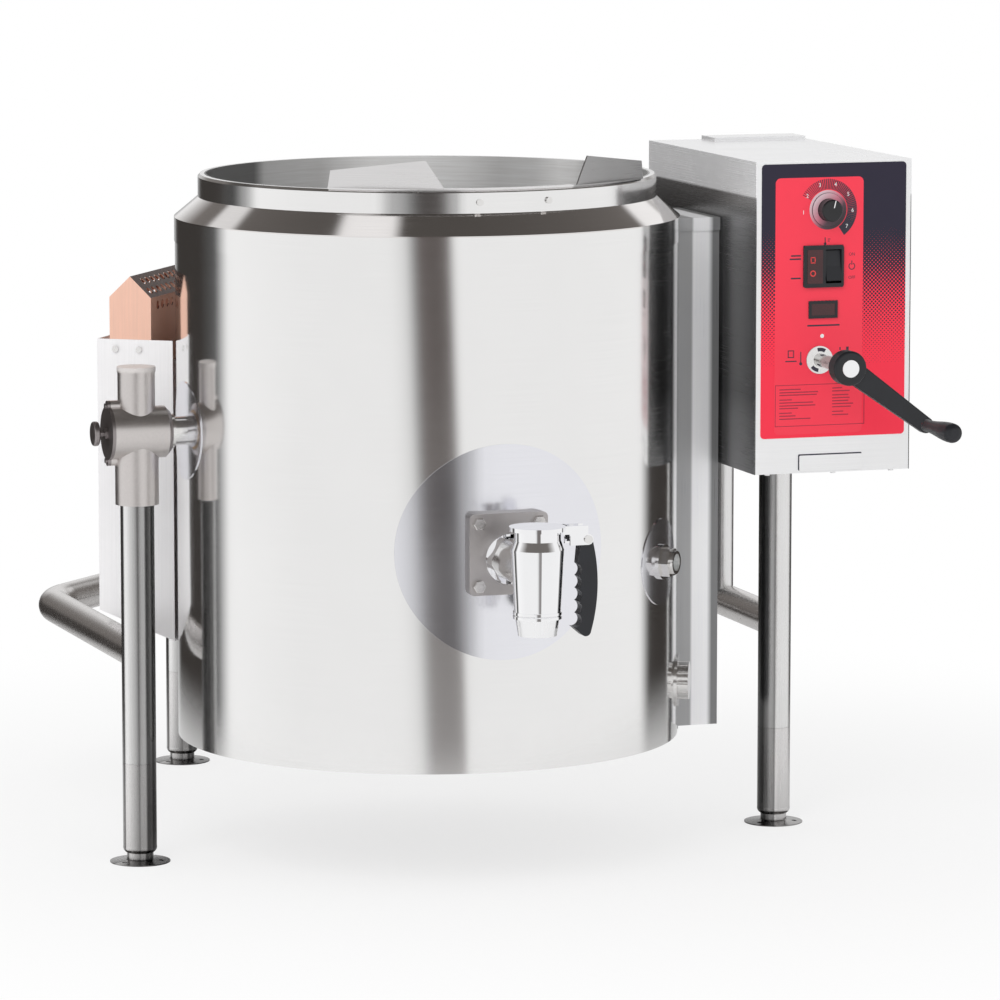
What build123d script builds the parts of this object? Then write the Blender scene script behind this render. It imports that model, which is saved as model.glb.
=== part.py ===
from build123d import *
import math
import os

# Gas-fired, crank-tilted steam jacketed kettle on a three-legged tube stand.
# Millimetres, +Z up. Everything is modelled about the kettle's own upright axis, with the floor at
# Z 0, the front at -Y and the operator's console at +X. The last step moves the whole model so
# that the origin lies on the floor under the middle of its box.

# ---------------------------------------------------------------- kettle
drumRadius = 381.0
drumBottom = 177.0
drumHeight = 752.0
bandHeight = 37.0
bandLip = 1.0
shoulderFold = 2.0
shoulderRise = 24.0
rimHeight = 40.0
rimWidth = 13.0
sheet = 1.5
bowlInset = 48.0
bowlWall = 3.0
bowlStraight = 227.0
jacketGap = 20.0
jacketWall = 4.0
jacketDrop = 125.0
innerReach = 106.0
linerThickness = 14.0
linerDrop = 29.0
linerRise = 73.0
panThickness = 3.0
panRise = 8.0
panRim = 18.0
panOpening = 110.0
burnerRadius = 150.0
burnerTube = 14.0
burnerRise = 123.0
burnerJets = 12

# ---------------------------------------------------------------- pouring lip
lipTurn = 4.5
lipHalfGap = 17.5
lipHalfSpan = 46.5
wingOuterHeight = 26.0
wingInnerHeight = 42.0
wingLean = 28.0
wingSheet = 2.0
lipStripHeight = 28.0
lipScrewTurn = 9.0
lipScrewDrop = 18.0
lipScrewRadius = 2.5
sheetScrewHead = 5.0

# ---------------------------------------------------------------- draw-off
drawoffAxisHeight = 496.0
plateLift = 7.0
patchRadius = 159.0
patchSheet = 1.5
drawoffPlateSize = 120.0
plateStand = 17.0
plateRim = 29.0
drawoffBoltSpacing = 92.0
boltHeadFlats = 17.0
boltHeadHeight = 7.0
drawoffBore = 25.0
drawoffTubeRadius = 30.0
drawoffNutFlats = 66.0
drawoffNutThickness = 24.0
valveStand = 132.0
valveTopRise = 65.0
valveNeck = 33.0
valveRingDrop = 58.0
valveOutletDrop = 93.0
seatRise = 40.0
valveTopRadius = 38.6
valveLowRadius = 33.8
valveOutletRadius = 28.0
valveBore = 22.0
valveWall = 5.0
valveBead = 1.5
capRadius = 41.0
capThickness = 6.0
handlePinX = 72.0
handlePinDrop = 20.0
handlePinRadius = 4.0
handleHead = 11.0
handleLength = 141.0
handleInset = 15.0
handleWidth = 27.0
handleBow = 6.0
handleThickness = 20.0
fingerGrooves = 5
plugStemRadius = 5.0
plugHeight = 14.0
plugLift = 12.0

# ---------------------------------------------------------------- side fittings
trunnionPatchRadius = 74.0
sightTurn = 49.0
sightHeight = 458.0
sightPatchRadius = 65.0
sightNutFlats = 41.0
sightLength = 26.0
sightLensRadius = 13.0
drainTurn = 65.7
drainHeight = 260.0
drainDiscRadius = 40.0
drainCapRadius = 29.0
drainCapLength = 16.0

# ---------------------------------------------------------------- trunnions and tilt drive
trunnionHeight = 652.0
trunnionRadius = 22.0
runningGap = 0.05
bushWall = 8.0
wormBushWall = 6.0
barrelRadius = 39.0
barrelGap = 25.0
barrelLength = 90.0
stubRadius = 28.0
stubRise = 91.0
stubCapThickness = 8.0
sleeveRadius = 32.6
sleeveDrop = 108.0
earReach = 41.0
earRadius = 8.0
capPlate = 5.0
knobRadius = 18.5
knobStand = 22.0
wormRise = 100.0
wormInset = 103.0
gearTeeth = 40
gearModule = 4.0
sectorWidth = 20.0
uprightInset = 16.0
uprightReach = 66.0
sectorHubRadius = 42.0
wormRootRadius = 15.0
wormTurns = 4
wormBearingReach = 65.0
crankShaftRadius = 10.0
crankReach = 130.0
crankHubRadius = 26.0
crankHubThickness = 28.0
crankThrow = 154.0
crankDrop = 35.8
crankEndRadius = 12.0
crankArmThickness = 18.0
crankCapRadius = 13.0
gripLength = 108.0
gripRadius = 14.5
gripNeck = 9.5
gripPinRadius = 4.5

# ---------------------------------------------------------------- channel beside the console
channelGap = 10.0
channelWidth = 46.0
channelHalfDepth = 90.0
channelFlange = 24.0
notchStep = 150.0
notchHeight = 90.0
channelCapHeight = 20.0
channelCapLip = 2.0
channelDrop = 8.0

# ---------------------------------------------------------------- console
consoleGap = 3.0
consoleWidth = 250.0
consoleDepth = 480.0
consoleBottom = 581.0
consoleHeight = 471.0
coverRise = 6.0
coverLeft = 88.0
coverRight = 10.0
coverDepth = 60.0
gasAside = 60.0
gasRise = 70.0
gasRadius = 19.0
gasBore = 12.0
gasReach = 14.0
overlaySheet = 0.8
overlaySide = 9.0
overlayTop = 4.0
overlayBottom = 54.0
dialInset = 115.0
dialDrop = 74.0
dialSkirtRadius = 25.7
dialKnobRadius = 16.6
dialKnobDepth = 20.0
dialShaftRadius = 3.0
switchInset = 108.0
switchDrop = 159.0
switchWidth = 64.0
switchHeight = 63.0
switchProud = 4.0
lampDrop = 224.0
lampWidth = 46.0
lampHeight = 26.0
crankRingRadius = 21.0
framePlate = 10.0

# ---------------------------------------------------------------- stand
tubeRadius = 25.4
tubeWall = 3.2
weldGap = 0.1
leftLegInset = 49.0
rightLegInset = 125.0
rearLegX = -178.0
rearLegGap = 418.0
railHeight = 318.0
leftBendOut = 12.0
leftBendGap = 139.0
rightBendGap = 209.0
railBend = 110.0
postInset = 9.0
postY = 222.0
postRadius = 21.0
footSeam = 152.0
footGap = 0.3
footFlangeRadius = 45.5
footFlangeThickness = 4.0
footHoleCircle = 33.0
footHoleRadius = 4.0
footHoles = 3
ankleRadius = 20.0
ankleTop = 14.5
footStemRadius = 12.0
footStemLength = 75.0
insertLength = 40.0

# ---------------------------------------------------------------- flue
flueTurn = 35.0
flueSink = 15.0
flueDepth = 122.0
portHalf = 30.0
portHeight = 80.0
portRise = 21.5
flueFront = 122.0
flueBack = 86.0
flueTop = 775.0
flueHeightInner = 460.0
flueHeightOuter = 417.0
hoodInset = 35.0
hoodWidth = 67.0
hoodSink = 40.0
hoodEaveRise = 64.0
hoodRoofRise = 32.0
hoodScrewOuter = 10.0
hoodScrewInner = 19.0
hoodScrewDrop = 15.0
hoodHoleRadius = 6.5

# ---------------------------------------------------------------- worked out from the above
bandSeam = drumBottom + drumHeight
shoulderHeight = bandSeam + bandHeight
rimFoot = shoulderHeight + shoulderRise
rimTop = rimFoot + rimHeight
bowlRadius = drumRadius - bowlInset
rimRadius = bowlRadius + rimWidth
sheetInner = drumRadius - sheet
bowlCentre = rimTop - bowlStraight
jacketTop = rimTop - jacketDrop
linerTop = bandSeam - linerDrop
linerBottom = drumBottom + linerRise
panFloor = drumBottom + panRise
burnerHeight = drumBottom + burnerRise
drawoffHeight = drawoffAxisHeight + plateLift
drawoffPlateFace = drumRadius + plateStand
valveReach = drawoffPlateFace + valveStand
valveTop = drawoffAxisHeight + valveTopRise
valveShoulder = valveTop - valveNeck
valveRingTop = drawoffAxisHeight - valveRingDrop
valveOutlet = drawoffAxisHeight - valveOutletDrop
handlePinZ = valveTop - handlePinDrop
handleTop = handlePinZ + handleHead
handleBottom = handlePinZ - handleLength
handleInner = handlePinX - handleInset
handleOuter = handleInner + handleWidth
barrelInner = drumRadius + barrelGap
barrelOuter = barrelInner + barrelLength
stubTop = trunnionHeight + stubRise
sleeveBottom = trunnionHeight - sleeveDrop
channelInner = drumRadius + channelGap
channelOuter = channelInner + channelWidth
channelTop = shoulderHeight - channelDrop
consoleLeft = channelOuter + consoleGap
consoleTop = consoleBottom + consoleHeight
wormX = consoleLeft + wormInset
dialX = consoleLeft + dialInset
dialZ = consoleTop - dialDrop
switchX = consoleLeft + switchInset
switchZ = consoleTop - switchDrop
lampZ = consoleTop - lampDrop
leftLegX = -barrelInner - leftLegInset
rightLegX = consoleLeft + rightLegInset
rearLegY = drumRadius + rearLegGap
leftBendX = leftLegX - leftBendOut
leftBendY = drumRadius + leftBendGap
rightBendY = drumRadius + rightBendGap
postX = rightLegX - postInset
flueInner = drumRadius - flueSink
flueOuter = flueInner + flueDepth
flueBottomInner = flueTop - flueHeightInner
flueBottomOuter = flueTop - flueHeightOuter
hoodInner = flueInner + hoodInset
hoodOuter = hoodInner + hoodWidth
hoodFoot = flueTop - hoodSink
hoodEave = flueTop + hoodEaveRise
hoodRidge = hoodEave + hoodRoofRise
bowlOuter = bowlRadius + bowlWall
jacketInner = bowlOuter + jacketGap
jacketOuter = jacketInner + jacketWall
deep = jacketInner - innerReach
linerOuter = sheetInner
linerInner = linerOuter - linerThickness
trunnionFlange = trunnionRadius + 34
trunnionFlangeFace = math.sqrt(linerInner ** 2 - trunnionFlange ** 2) - 0.5
gearRadius = gearModule * gearTeeth / 2
wormRadius = wormRise - gearRadius
wormPitch = math.pi * gearModule
wormHeight = trunnionHeight + wormRise
consoleRight = consoleLeft + consoleWidth
consoleFront = -consoleDepth / 2
consoleBack = consoleDepth / 2
outX = Vector(1, 0, 0)
outY = Vector(0, 1, 0)
outZ = Vector(0, 0, 1)


# ---------------------------------------------------------------- helpers
def rod(radius, start, end):
    """A round bar from one point to another."""
    a, b = Vector(*start), Vector(*end)
    return extrude(Plane(a, z_dir=b - a) * Circle(radius), (b - a).length)


def tube(outer, inner, start, end):
    return rod(outer, start, end) - rod(inner, start, end)


def drum(radius, low, high):
    """A round bar on the kettle's own axis."""
    return rod(radius, (0, 0, low), (0, 0, high))


def axle(radius, start, end, height=trunnionHeight):
    """A round bar along X, over the kettle's axis."""
    return rod(radius, (start, 0, height), (end, 0, height))


def spindle(radius, x, z, start, end):
    """A round bar along Y."""
    return rod(radius, (x, start, z), (x, end, z))


def drawoffRod(radius, start, end):
    """A round bar on the draw-off tube's axis."""
    return spindle(radius, 0, drawoffAxisHeight, start, end)


def block(x0, x1, y0, y1, z0, z1):
    return Pos((x0 + x1) / 2, (y0 + y1) / 2, (z0 + z1) / 2) * Box(x1 - x0, y1 - y0, z1 - z0)


def turned(points):
    """A solid of revolution about Z from (radius, height) points."""
    return revolve(Plane.XZ * make_face(Polyline(*points, close=True)), Axis.Z)


def group(pieces):
    """Separate solids that share one node."""
    return Compound([solid for piece in pieces for solid in piece.solids()])


def ball(radius):
    return Pos(0, 0, bowlCentre) * Sphere(radius)


def hexBar(flats, length, plane):
    """A hexagonal bar that starts on the plane and runs along its normal."""
    return extrude(plane * RegularPolygon(flats / 2, 6, major_radius=False), length)


def facing(turn, radius, height):
    """A plane on the drum, turned from the front towards the console, facing outwards."""
    angle = math.radians(turn)
    out = Vector(math.sin(angle), -math.cos(angle), 0)
    side = Vector(math.cos(angle), math.sin(angle), 0)
    return Plane(out * radius + outZ * height, x_dir=side, z_dir=out)


def front(x, z, y=consoleFront):
    """A plane on the console's front that faces the operator."""
    return Plane(Vector(x, y, z), x_dir=outX, z_dir=-outY)


# ---------------------------------------------------------------- kettle
def drumOpenings():
    """What passes through the outer drum and its lining."""
    bores = axle(trunnionRadius, -drumRadius - 5, -deep) + axle(trunnionRadius, deep, drumRadius + 5)
    bores += drawoffRod(drawoffTubeRadius, -deep, -drumRadius - 5)
    low = flueBottomOuter + portRise
    port = block(deep, flueOuter - flueDepth / 2, -portHalf, portHalf, low, low + portHeight)
    return bores + flueFrame() * port


def outerShroud():
    ring = turned([(sheetInner, drumBottom), (drumRadius, drumBottom),
                   (drumRadius, bandSeam), (sheetInner, bandSeam)])
    return ring - drumOpenings()


def shroudBand():
    foot = shoulderHeight - shoulderFold
    outer = drumRadius + bandLip
    return turned([(sheetInner, bandSeam), (outer, bandSeam), (outer, foot), (sheetInner, foot)])


def shoulderRing():
    foot = shoulderHeight - shoulderFold
    outer = drumRadius + bandLip
    head = rimFoot + 3 * shoulderFold
    return turned([(sheetInner, foot), (outer, foot), (outer, shoulderHeight), (rimRadius, head),
                   (rimRadius, head - 2 * sheet), (sheetInner, shoulderHeight - sheet / 3)])


def rimBand():
    ring = turned([(bowlOuter, rimFoot), (rimRadius, rimFoot), (rimRadius, rimTop - 4),
                   (rimRadius - 3, rimTop), (bowlOuter, rimTop)])
    return ring - lipScrewShanks()


def innerBowl():
    arc = CenterArc((0, bowlCentre), bowlRadius, -90, 90)
    outer = CenterArc((0, bowlCentre), bowlOuter, 0, -90)
    wall = [arc, Line((bowlRadius, bowlCentre), (bowlRadius, rimTop)),
            Line((bowlRadius, rimTop), (bowlOuter, rimTop)),
            Line((bowlOuter, rimTop), (bowlOuter, bowlCentre)), outer,
            Line((0, bowlCentre - bowlOuter), (0, bowlCentre - bowlRadius))]
    bowl = revolve(Plane.XZ * make_face(wall), Axis.Z)
    bowl -= drawoffRod(drawoffTubeRadius, -10, -drawoffPlateFace)
    return bowl - lipScrewShanks()


def jacketShell():
    arc = CenterArc((0, bowlCentre), jacketInner, -90, 90)
    outer = CenterArc((0, bowlCentre), jacketOuter, 0, -90)
    wall = [arc, Line((jacketInner, bowlCentre), (jacketInner, jacketTop)),
            Line((jacketInner, jacketTop), (bowlOuter, jacketTop)),
            Line((bowlOuter, jacketTop), (bowlOuter, jacketTop + jacketWall)),
            Line((bowlOuter, jacketTop + jacketWall), (jacketOuter, jacketTop + jacketWall)),
            Line((jacketOuter, jacketTop + jacketWall), (jacketOuter, bowlCentre)), outer,
            Line((0, bowlCentre - jacketOuter), (0, bowlCentre - jacketInner))]
    shell = revolve(Plane.XZ * make_face(wall), Axis.Z)
    return shell - drawoffRod(drawoffTubeRadius, -10, -drawoffPlateFace)


def insulationLiner():
    ring = drum(linerOuter, linerBottom, linerTop) - drum(linerInner, linerBottom, linerTop)
    return ring - drumOpenings()


def basePan():
    """The floor of the burner space, with its air opening and upturned edge."""
    inner = sheetInner - panThickness
    top = panFloor + panRim
    return turned([(panOpening, panFloor), (sheetInner, panFloor), (sheetInner, top), (inner, top),
                   (inner, panFloor + panThickness), (panOpening, panFloor + panThickness)])


def burnerRing():
    """A ring burner on three stays, with its jets along the top."""
    section = Pos(burnerRadius, burnerHeight) * RegularPolygon(burnerTube, 8, rotation=22.5)
    ring = revolve(Plane.XZ * section, Axis.Z)
    floor = panFloor + panThickness
    for turn in range(3):
        stay = block(-5, 5, -8, 8, floor, burnerHeight - burnerTube / 2)
        ring += Rot(0, 0, 30 + 120 * turn) * Pos(burnerRadius, 0, 0) * stay
    for turn in range(burnerJets):
        tip = burnerHeight + burnerTube + 10
        jet = rod(burnerTube / 2, (burnerRadius, 0, burnerHeight), (burnerRadius, 0, tip))
        ring += Rot(0, 0, 360 / burnerJets * (turn + 0.5)) * jet
    return ring + axle(burnerTube * 0.7, burnerRadius, linerInner - 1, burnerHeight)


# ---------------------------------------------------------------- pouring lip
def wedge(half, low, high):
    """The slice of the rim that the pouring lip covers, as a solid to cut with."""
    reach = 2 * rimRadius
    points = [(0, 0)]
    for side in (-half, half):
        angle = math.radians(lipTurn + side)
        points.append((reach * math.sin(angle), -reach * math.cos(angle)))
    return extrude(Plane(Vector(0, 0, low)) * make_face(Polyline(*points, close=True)), high - low)


def wing(side):
    """One raised side of the pouring lip: a flat plate that stands across the rim."""
    corners = []
    for turn in (lipHalfGap, lipHalfSpan):
        angle = math.radians(lipTurn + side * turn)
        corners.append(Vector(math.sin(angle), -math.cos(angle), 0) * rimRadius)
    along = (corners[1] - corners[0]).normalized()
    width = (corners[1] - corners[0]).length
    plane = Plane(corners[0] + outZ * (rimTop + wingSheet / 2), x_dir=along, z_dir=along.cross(outZ))
    outline = make_face(Polyline((0, 0), (width, 0), (width - 4, wingOuterHeight),
                                 (wingLean, wingInnerHeight), close=True))
    thick = wingSheet if side < 0 else -wingSheet
    return extrude(plane * outline, thick)


def pourLip():
    """Both wings, the rim plate that they stand on and the strip behind the rim."""
    inner = bowlRadius - wingSheet
    top = rimTop + wingSheet
    foot = drum(rimRadius, rimTop, top) - drum(inner, rimTop, top)
    strip = drum(bowlRadius, rimTop - lipStripHeight, top) - drum(inner, rimTop - lipStripHeight, top)
    lip = foot & wedge(lipHalfSpan, rimTop - 1, rimTop + 10)
    lip += strip & wedge(lipHalfGap, rimTop - 2 * lipStripHeight, rimTop + 10)
    for side in (-1, 1):
        lip += wing(side)
    return lip - lipScrewShanks()


def lipScrewShanks():
    length = rimRadius - bowlRadius + wingSheet
    shanks = None
    for side in (-lipScrewTurn, lipScrewTurn):
        plane = facing(lipTurn + side, rimRadius - length, rimTop - lipScrewDrop)
        shank = extrude(plane * Circle(lipScrewRadius), length)
        shanks = shank if shanks is None else shanks + shank
    return shanks


def sheetScrews():
    """Round-headed screws: two in the pouring lip, two in the flue box."""
    screws = []
    for side in (-lipScrewTurn, lipScrewTurn):
        depth = rimRadius - bowlRadius + wingSheet
        plane = facing(lipTurn + side, rimRadius - depth, rimTop - lipScrewDrop)
        shank = extrude(plane * Circle(lipScrewRadius), depth + 0.6)
        head = plane.offset(depth + 0.4) * (Pos(0, 0, 1.5) * Cylinder(sheetScrewHead, 3))
        screws.append(shank + head)
    for place in flueScrewPlaces():
        screws.append(flueFrame() * flueScrew(place))
    return group(screws)


# ---------------------------------------------------------------- draw-off
def drawoffPatch():
    """The large round cover on the front of the drum."""
    return curvedPatch(facing(0, drumRadius / 2, drawoffHeight), drawoffHeight, patchRadius) - drumOpenings()


def drawoffPlate():
    """The square plate, hollowed behind so that it seats on the round cover."""
    y0 = -drawoffPlateFace
    half = drawoffPlateSize / 2
    plate = block(-half, half, y0, y0 + plateRim, drawoffHeight - half, drawoffHeight + half)
    plate = fillet(plate.edges().filter_by(Axis.Y), 8)
    plate -= drum(drumRadius + patchSheet, drawoffHeight - half - 5, drawoffHeight + half + 5)
    return plate - drawoffRod(drawoffTubeRadius, -deep, y0 - 5)


def drawoffBolts():
    bolts = []
    for x in (-drawoffBoltSpacing / 2, drawoffBoltSpacing / 2):
        for z in (-drawoffBoltSpacing / 2, drawoffBoltSpacing / 2):
            plane = Plane(Vector(x, -drawoffPlateFace, drawoffHeight + z), x_dir=outX, z_dir=-outY)
            head = hexBar(boltHeadFlats, boltHeadHeight, plane)
            bolts.append(chamfer(head.faces().sort_by(Axis.Y)[0].edges(), 1))
    return group(bolts)


def drawoffTube():
    """The outlet tube, from the lowest part of the bowl to the valve."""
    end = -valveReach + valveLowRadius - 6
    pipe = drawoffRod(drawoffTubeRadius, -10, end) - drawoffRod(drawoffBore, -10, end)
    cone = turned([(0, valveRingTop), (valveLowRadius, valveRingTop), (valveTopRadius, valveShoulder),
                   (0, valveShoulder)])
    return pipe - ball(bowlRadius) - atValve(cone)


def drawoffNut():
    """The union nut against the plate, with its round collar."""
    back = -drawoffPlateFace - 6
    collar = drawoffRod(drawoffNutFlats / 2 + 4, -drawoffPlateFace, back)
    plane = Plane(Vector(0, back, drawoffAxisHeight), x_dir=outX, z_dir=-outY)
    nut = hexBar(drawoffNutFlats, drawoffNutThickness, plane)
    nut &= drawoffRod(drawoffNutFlats / 2 + 3, 0, -valveReach)
    return collar + nut - drawoffRod(drawoffTubeRadius, 0, -valveReach)


def atValve(shape):
    return Pos(0, -valveReach, 0) * shape


def valveBody():
    """The turned outlet body, open below, with the tube's port behind."""
    seat = valveRingTop + seatRise
    bead = valveLowRadius + valveBead
    neck = valveTopRadius - valveWall
    inside = valveLowRadius - valveWall
    stem = plugStemRadius + runningGap
    ring = valveRingTop - 10
    top = valveTop - capThickness
    body = turned([(valveBore, valveOutlet), (valveOutletRadius, valveOutlet), (valveOutletRadius + 4, ring),
                   (bead, ring), (bead, ring + 4), (valveLowRadius, ring + 5), (bead, ring + 6),
                   (bead, valveRingTop), (valveLowRadius, valveRingTop), (valveTopRadius, valveShoulder),
                   (neck, valveShoulder + 13), (neck, top), (stem, top), (stem, valveShoulder + 6),
                   (inside, valveShoulder - 8), (inside, seat + 2), (valveBore, seat - 4)])
    return atValve(body) - drawoffRod(drawoffBore, 0, -valveReach)


def valvePlug():
    """The plug that seats over the outlet, with its stem."""
    seat = valveRingTop + seatRise
    top = valveTop - 1.5 - plugLift
    edge = valveBore + 5.6
    return atValve(turned([(0, seat - 3.6), (valveBore - 0.2, seat - 3.6), (edge, seat + 2.4),
                           (edge, seat + 8), (plugStemRadius, seat + plugHeight), (plugStemRadius, top),
                           (0, top)]))


def valveCap():
    """The flat cap and the forked bracket that carries the handle's pin."""
    low = valveTop - capThickness
    cap = Pos(0, -valveReach, (low + valveTop) / 2) * Cylinder(capRadius, capThickness)
    cap -= rod(plugStemRadius + 1, (0, -valveReach, low - 1), (0, -valveReach, valveTop - 1))
    fork = handleThickness / 2
    for side in (-1, 1):
        y = -valveReach + side * (fork + 2.5)
        arm = block(capRadius - 12, handlePinX, y - 2.2, y + 2.2, low - 6, valveTop)
        arm += block(capRadius + 4, handlePinX, y - 2.2, y + 2.2, handlePinZ - 8, valveTop)
        arm += rod(8, (handlePinX, y - 2.2, handlePinZ), (handlePinX, y + 2.2, handlePinZ))
        cap += arm
    cap -= atValve(turned([(0, 0), (capRadius - 4, 0), (capRadius - 4, low), (0, low)]))
    return cap - pinRod(handlePinRadius, -2 * handleThickness, 2 * handleThickness)


def pinRod(radius, start, end):
    """A round bar on the handle's pin, from one place to another beside the valve's axis."""
    return spindle(radius, handlePinX, handlePinZ, start - valveReach, end - valveReach)


def valvePin():
    """The handle's pivot screw, held in both cheeks of the bracket."""
    reach = handleThickness / 2 + 4.7
    return pinRod(handlePinRadius, -reach, reach) + pinRod(handlePinRadius + 2, -reach - 3, -reach)


def valveHandle():
    """The bowed grip with finger grooves along its inner side."""
    step = (handlePinZ - 36 - handleBottom - 14) / fingerGrooves
    middle = (handleTop + handleBottom) / 2
    outline = [Line((handleInner + 6, handleTop - 6), (handlePinX - 4, handleTop - 2)),
               Line((handlePinX - 4, handleTop - 2), (handleOuter - 4, handleTop - 12)),
               ThreePointArc((handleOuter - 4, handleTop - 12), (handleOuter + handleBow - 2, middle),
                             (handleOuter - 6, handleBottom + 6)),
               ThreePointArc((handleOuter - 6, handleBottom + 6), (handleOuter - 11, handleBottom),
                             (handleOuter - 18, handleBottom + 1)),
               Line((handleOuter - 18, handleBottom + 1), (handleInner - 6, handleBottom + 14))]
    start = (handleInner - 6, handleBottom + 14)
    for groove in range(fingerGrooves):
        end = (handleInner + 2, handleBottom + 14 + step * (groove + 1))
        depth = (handleInner + 7, handleBottom + 14 + step * (groove + 0.5))
        outline.append(ThreePointArc(start, depth, end))
        start = end
    outline.append(Line(start, (handleInner + 6, handleTop - 6)))
    plane = Plane(Vector(0, -valveReach + handleThickness / 2, 0), x_dir=outX, z_dir=-outY)
    grip = extrude(plane * make_face(outline), handleThickness)
    return grip - pinRod(handlePinRadius + runningGap, -2 * handleThickness, 2 * handleThickness)


# ---------------------------------------------------------------- covers and fittings on the drum
def curvedPatch(plane, height, radius):
    low, high = height - 2 * radius, height + 2 * radius
    skin = drum(drumRadius + patchSheet, low, high) - drum(drumRadius, low, high)
    return skin & extrude(plane * Circle(radius), drumRadius)


def sidePatches():
    """Round covers at the left trunnion and round the sight glass."""
    left = curvedPatch(facing(-90, drumRadius / 2, trunnionHeight), trunnionHeight, trunnionPatchRadius)
    right = curvedPatch(facing(sightTurn, drumRadius / 2, sightHeight), sightHeight, sightPatchRadius)
    return group([left - drumOpenings(), right])


def sightFitting():
    """The hexagonal sight glass holder, seated on its round cover."""
    start = drumRadius + patchSheet - 2
    plane = facing(sightTurn, start, sightHeight)
    flange = extrude(plane * Circle(sightNutFlats / 2 + 6), 7)
    nut = hexBar(sightNutFlats, sightLength - 6, plane)
    holder = flange + chamfer(nut.faces().sort_by(SortBy.DISTANCE)[-1].edges(), 1.5)
    collar = extrude(plane * Circle(sightNutFlats / 2 - 3), sightLength)
    holder += collar
    holder -= extrude(plane.offset(sightLength - 8) * Circle(sightLensRadius), 20)
    reach = sightPatchRadius
    return holder - drum(drumRadius + patchSheet, sightHeight - reach, sightHeight + reach)


def sightLens():
    plane = facing(sightTurn, drumRadius + patchSheet - 2 + sightLength - 8, sightHeight)
    return extrude(plane * Circle(sightLensRadius), 5)


def drainFitting():
    """The low service plug: a thin round flange with a notched cap."""
    plane = facing(drainTurn, drumRadius - 4, drainHeight)
    flange = extrude(plane * Circle(drainDiscRadius), 7)
    cap = extrude(plane * Circle(drainCapRadius), 7 + drainCapLength)
    for notch in range(12):
        angle = math.radians(30 * notch)
        spot = plane.offset(7) * Pos(drainCapRadius * math.cos(angle), drainCapRadius * math.sin(angle))
        cap -= extrude(spot * Circle(2.2), drainCapLength)
    fitting = flange + cap
    return fitting - drum(drumRadius, drainHeight - 2 * drainDiscRadius, drainHeight + 2 * drainDiscRadius)


def channelCover():
    """The folded upright cover between the drum and the console, closed below."""
    half = channelHalfDepth
    low = drumBottom
    high = channelTop - channelCapHeight
    clear = half - sheet
    inner = drum(drumRadius, low - 5, bandSeam) + drum(drumRadius + bandLip, bandSeam, high + 30)
    shell = block(channelInner - 40, channelOuter, -half, half, low, high)
    shell -= block(channelInner - 50, channelOuter - sheet, -clear, clear, low + sheet, high + 1)
    reach = half + channelFlange
    flange = drum(drumRadius + sheet, low, bandSeam) - drum(drumRadius, low, bandSeam)
    flange &= block(0, channelInner, -reach, reach, low, high)
    flange -= block(0, channelInner, -clear, clear, low - 1, high + 1)
    shell = shell - inner + flange
    for side in (-1, 1):
        for z in (drainHeight + notchStep, sightHeight + notchStep):
            shell -= block(deep, channelInner, side * reach - 8, side * reach + 8, z, z + notchHeight)
    shell -= drainClearance()
    return shell - axle(trunnionRadius + 1, channelInner, channelOuter + 5)


def drainClearance():
    plane = facing(drainTurn, drumRadius - 10, drainHeight)
    return extrude(plane * Circle(drainDiscRadius + 1), 60)


def channelCap():
    """The lid on the channel, turned down over its edge."""
    half = channelHalfDepth + channelCapLip
    clear = half - 2 * channelCapLip
    low = channelTop - channelCapHeight
    lid = block(channelInner - 40, channelOuter + 0.8, -half, half, low, channelTop)
    lid -= block(channelInner - 50, channelOuter - sheet, -clear, clear, low - 1, channelTop - 2)
    return lid - drum(drumRadius + bandLip, 0, channelTop + 5)


# ---------------------------------------------------------------- trunnions
def trunnionLeft():
    """The plain trunnion, from the jacket to the end of its bush."""
    shaft = axle(trunnionRadius, -barrelOuter + 2, -deep)
    collar = axle(trunnionRadius + 4, -barrelInner + 0.5, -barrelInner + 6)
    flange = axle(trunnionFlange, -trunnionFlangeFace, -deep)
    return shaft + collar + flange - ball(jacketOuter)


def trunnionRight():
    """The driven trunnion, through the channel to the far bearing."""
    far = uprights()[1] + framePlate + 2
    flange = axle(trunnionFlange, deep, trunnionFlangeFace)
    return axle(trunnionRadius, deep, far) + flange - ball(jacketOuter)


def sectorGear():
    """The toothed quadrant on the right trunnion. Its teeth stand in the worm's gaps at rest."""
    root = gearRadius - gearModule * 1.2
    tip = gearRadius + gearModule * 0.9
    half = sectorWidth / 2
    step = 360 / gearTeeth
    profile = Circle(sectorHubRadius)
    web = [(0, 0)]
    for turn in range(-18, 109, 9):
        web.append((root * math.cos(math.radians(turn)), root * math.sin(math.radians(turn))))
    profile += make_face(Polyline(*web, close=True))
    toothRoot = math.pi * gearModule * 0.5
    toothTip = gearModule * 0.36
    for tooth in range(-1, 12):
        angle = 90 + step / 2 - step * tooth
        shape = make_face(Polyline((root - 2, -toothRoot / 2), (tip, -toothTip), (tip, toothTip),
                                   (root - 2, toothRoot / 2), close=True))
        profile += Rot(0, 0, angle) * shape
    plane = Plane(Vector(wormX - half, 0, trunnionHeight), x_dir=outY, z_dir=outX)
    gear = extrude(plane * profile, sectorWidth)
    gear += axle(sectorHubRadius - 6, wormX + half, wormX + half + 12)
    return gear - axle(trunnionRadius, wormX - 2 * sectorWidth, wormX + 3 * sectorWidth)


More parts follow.
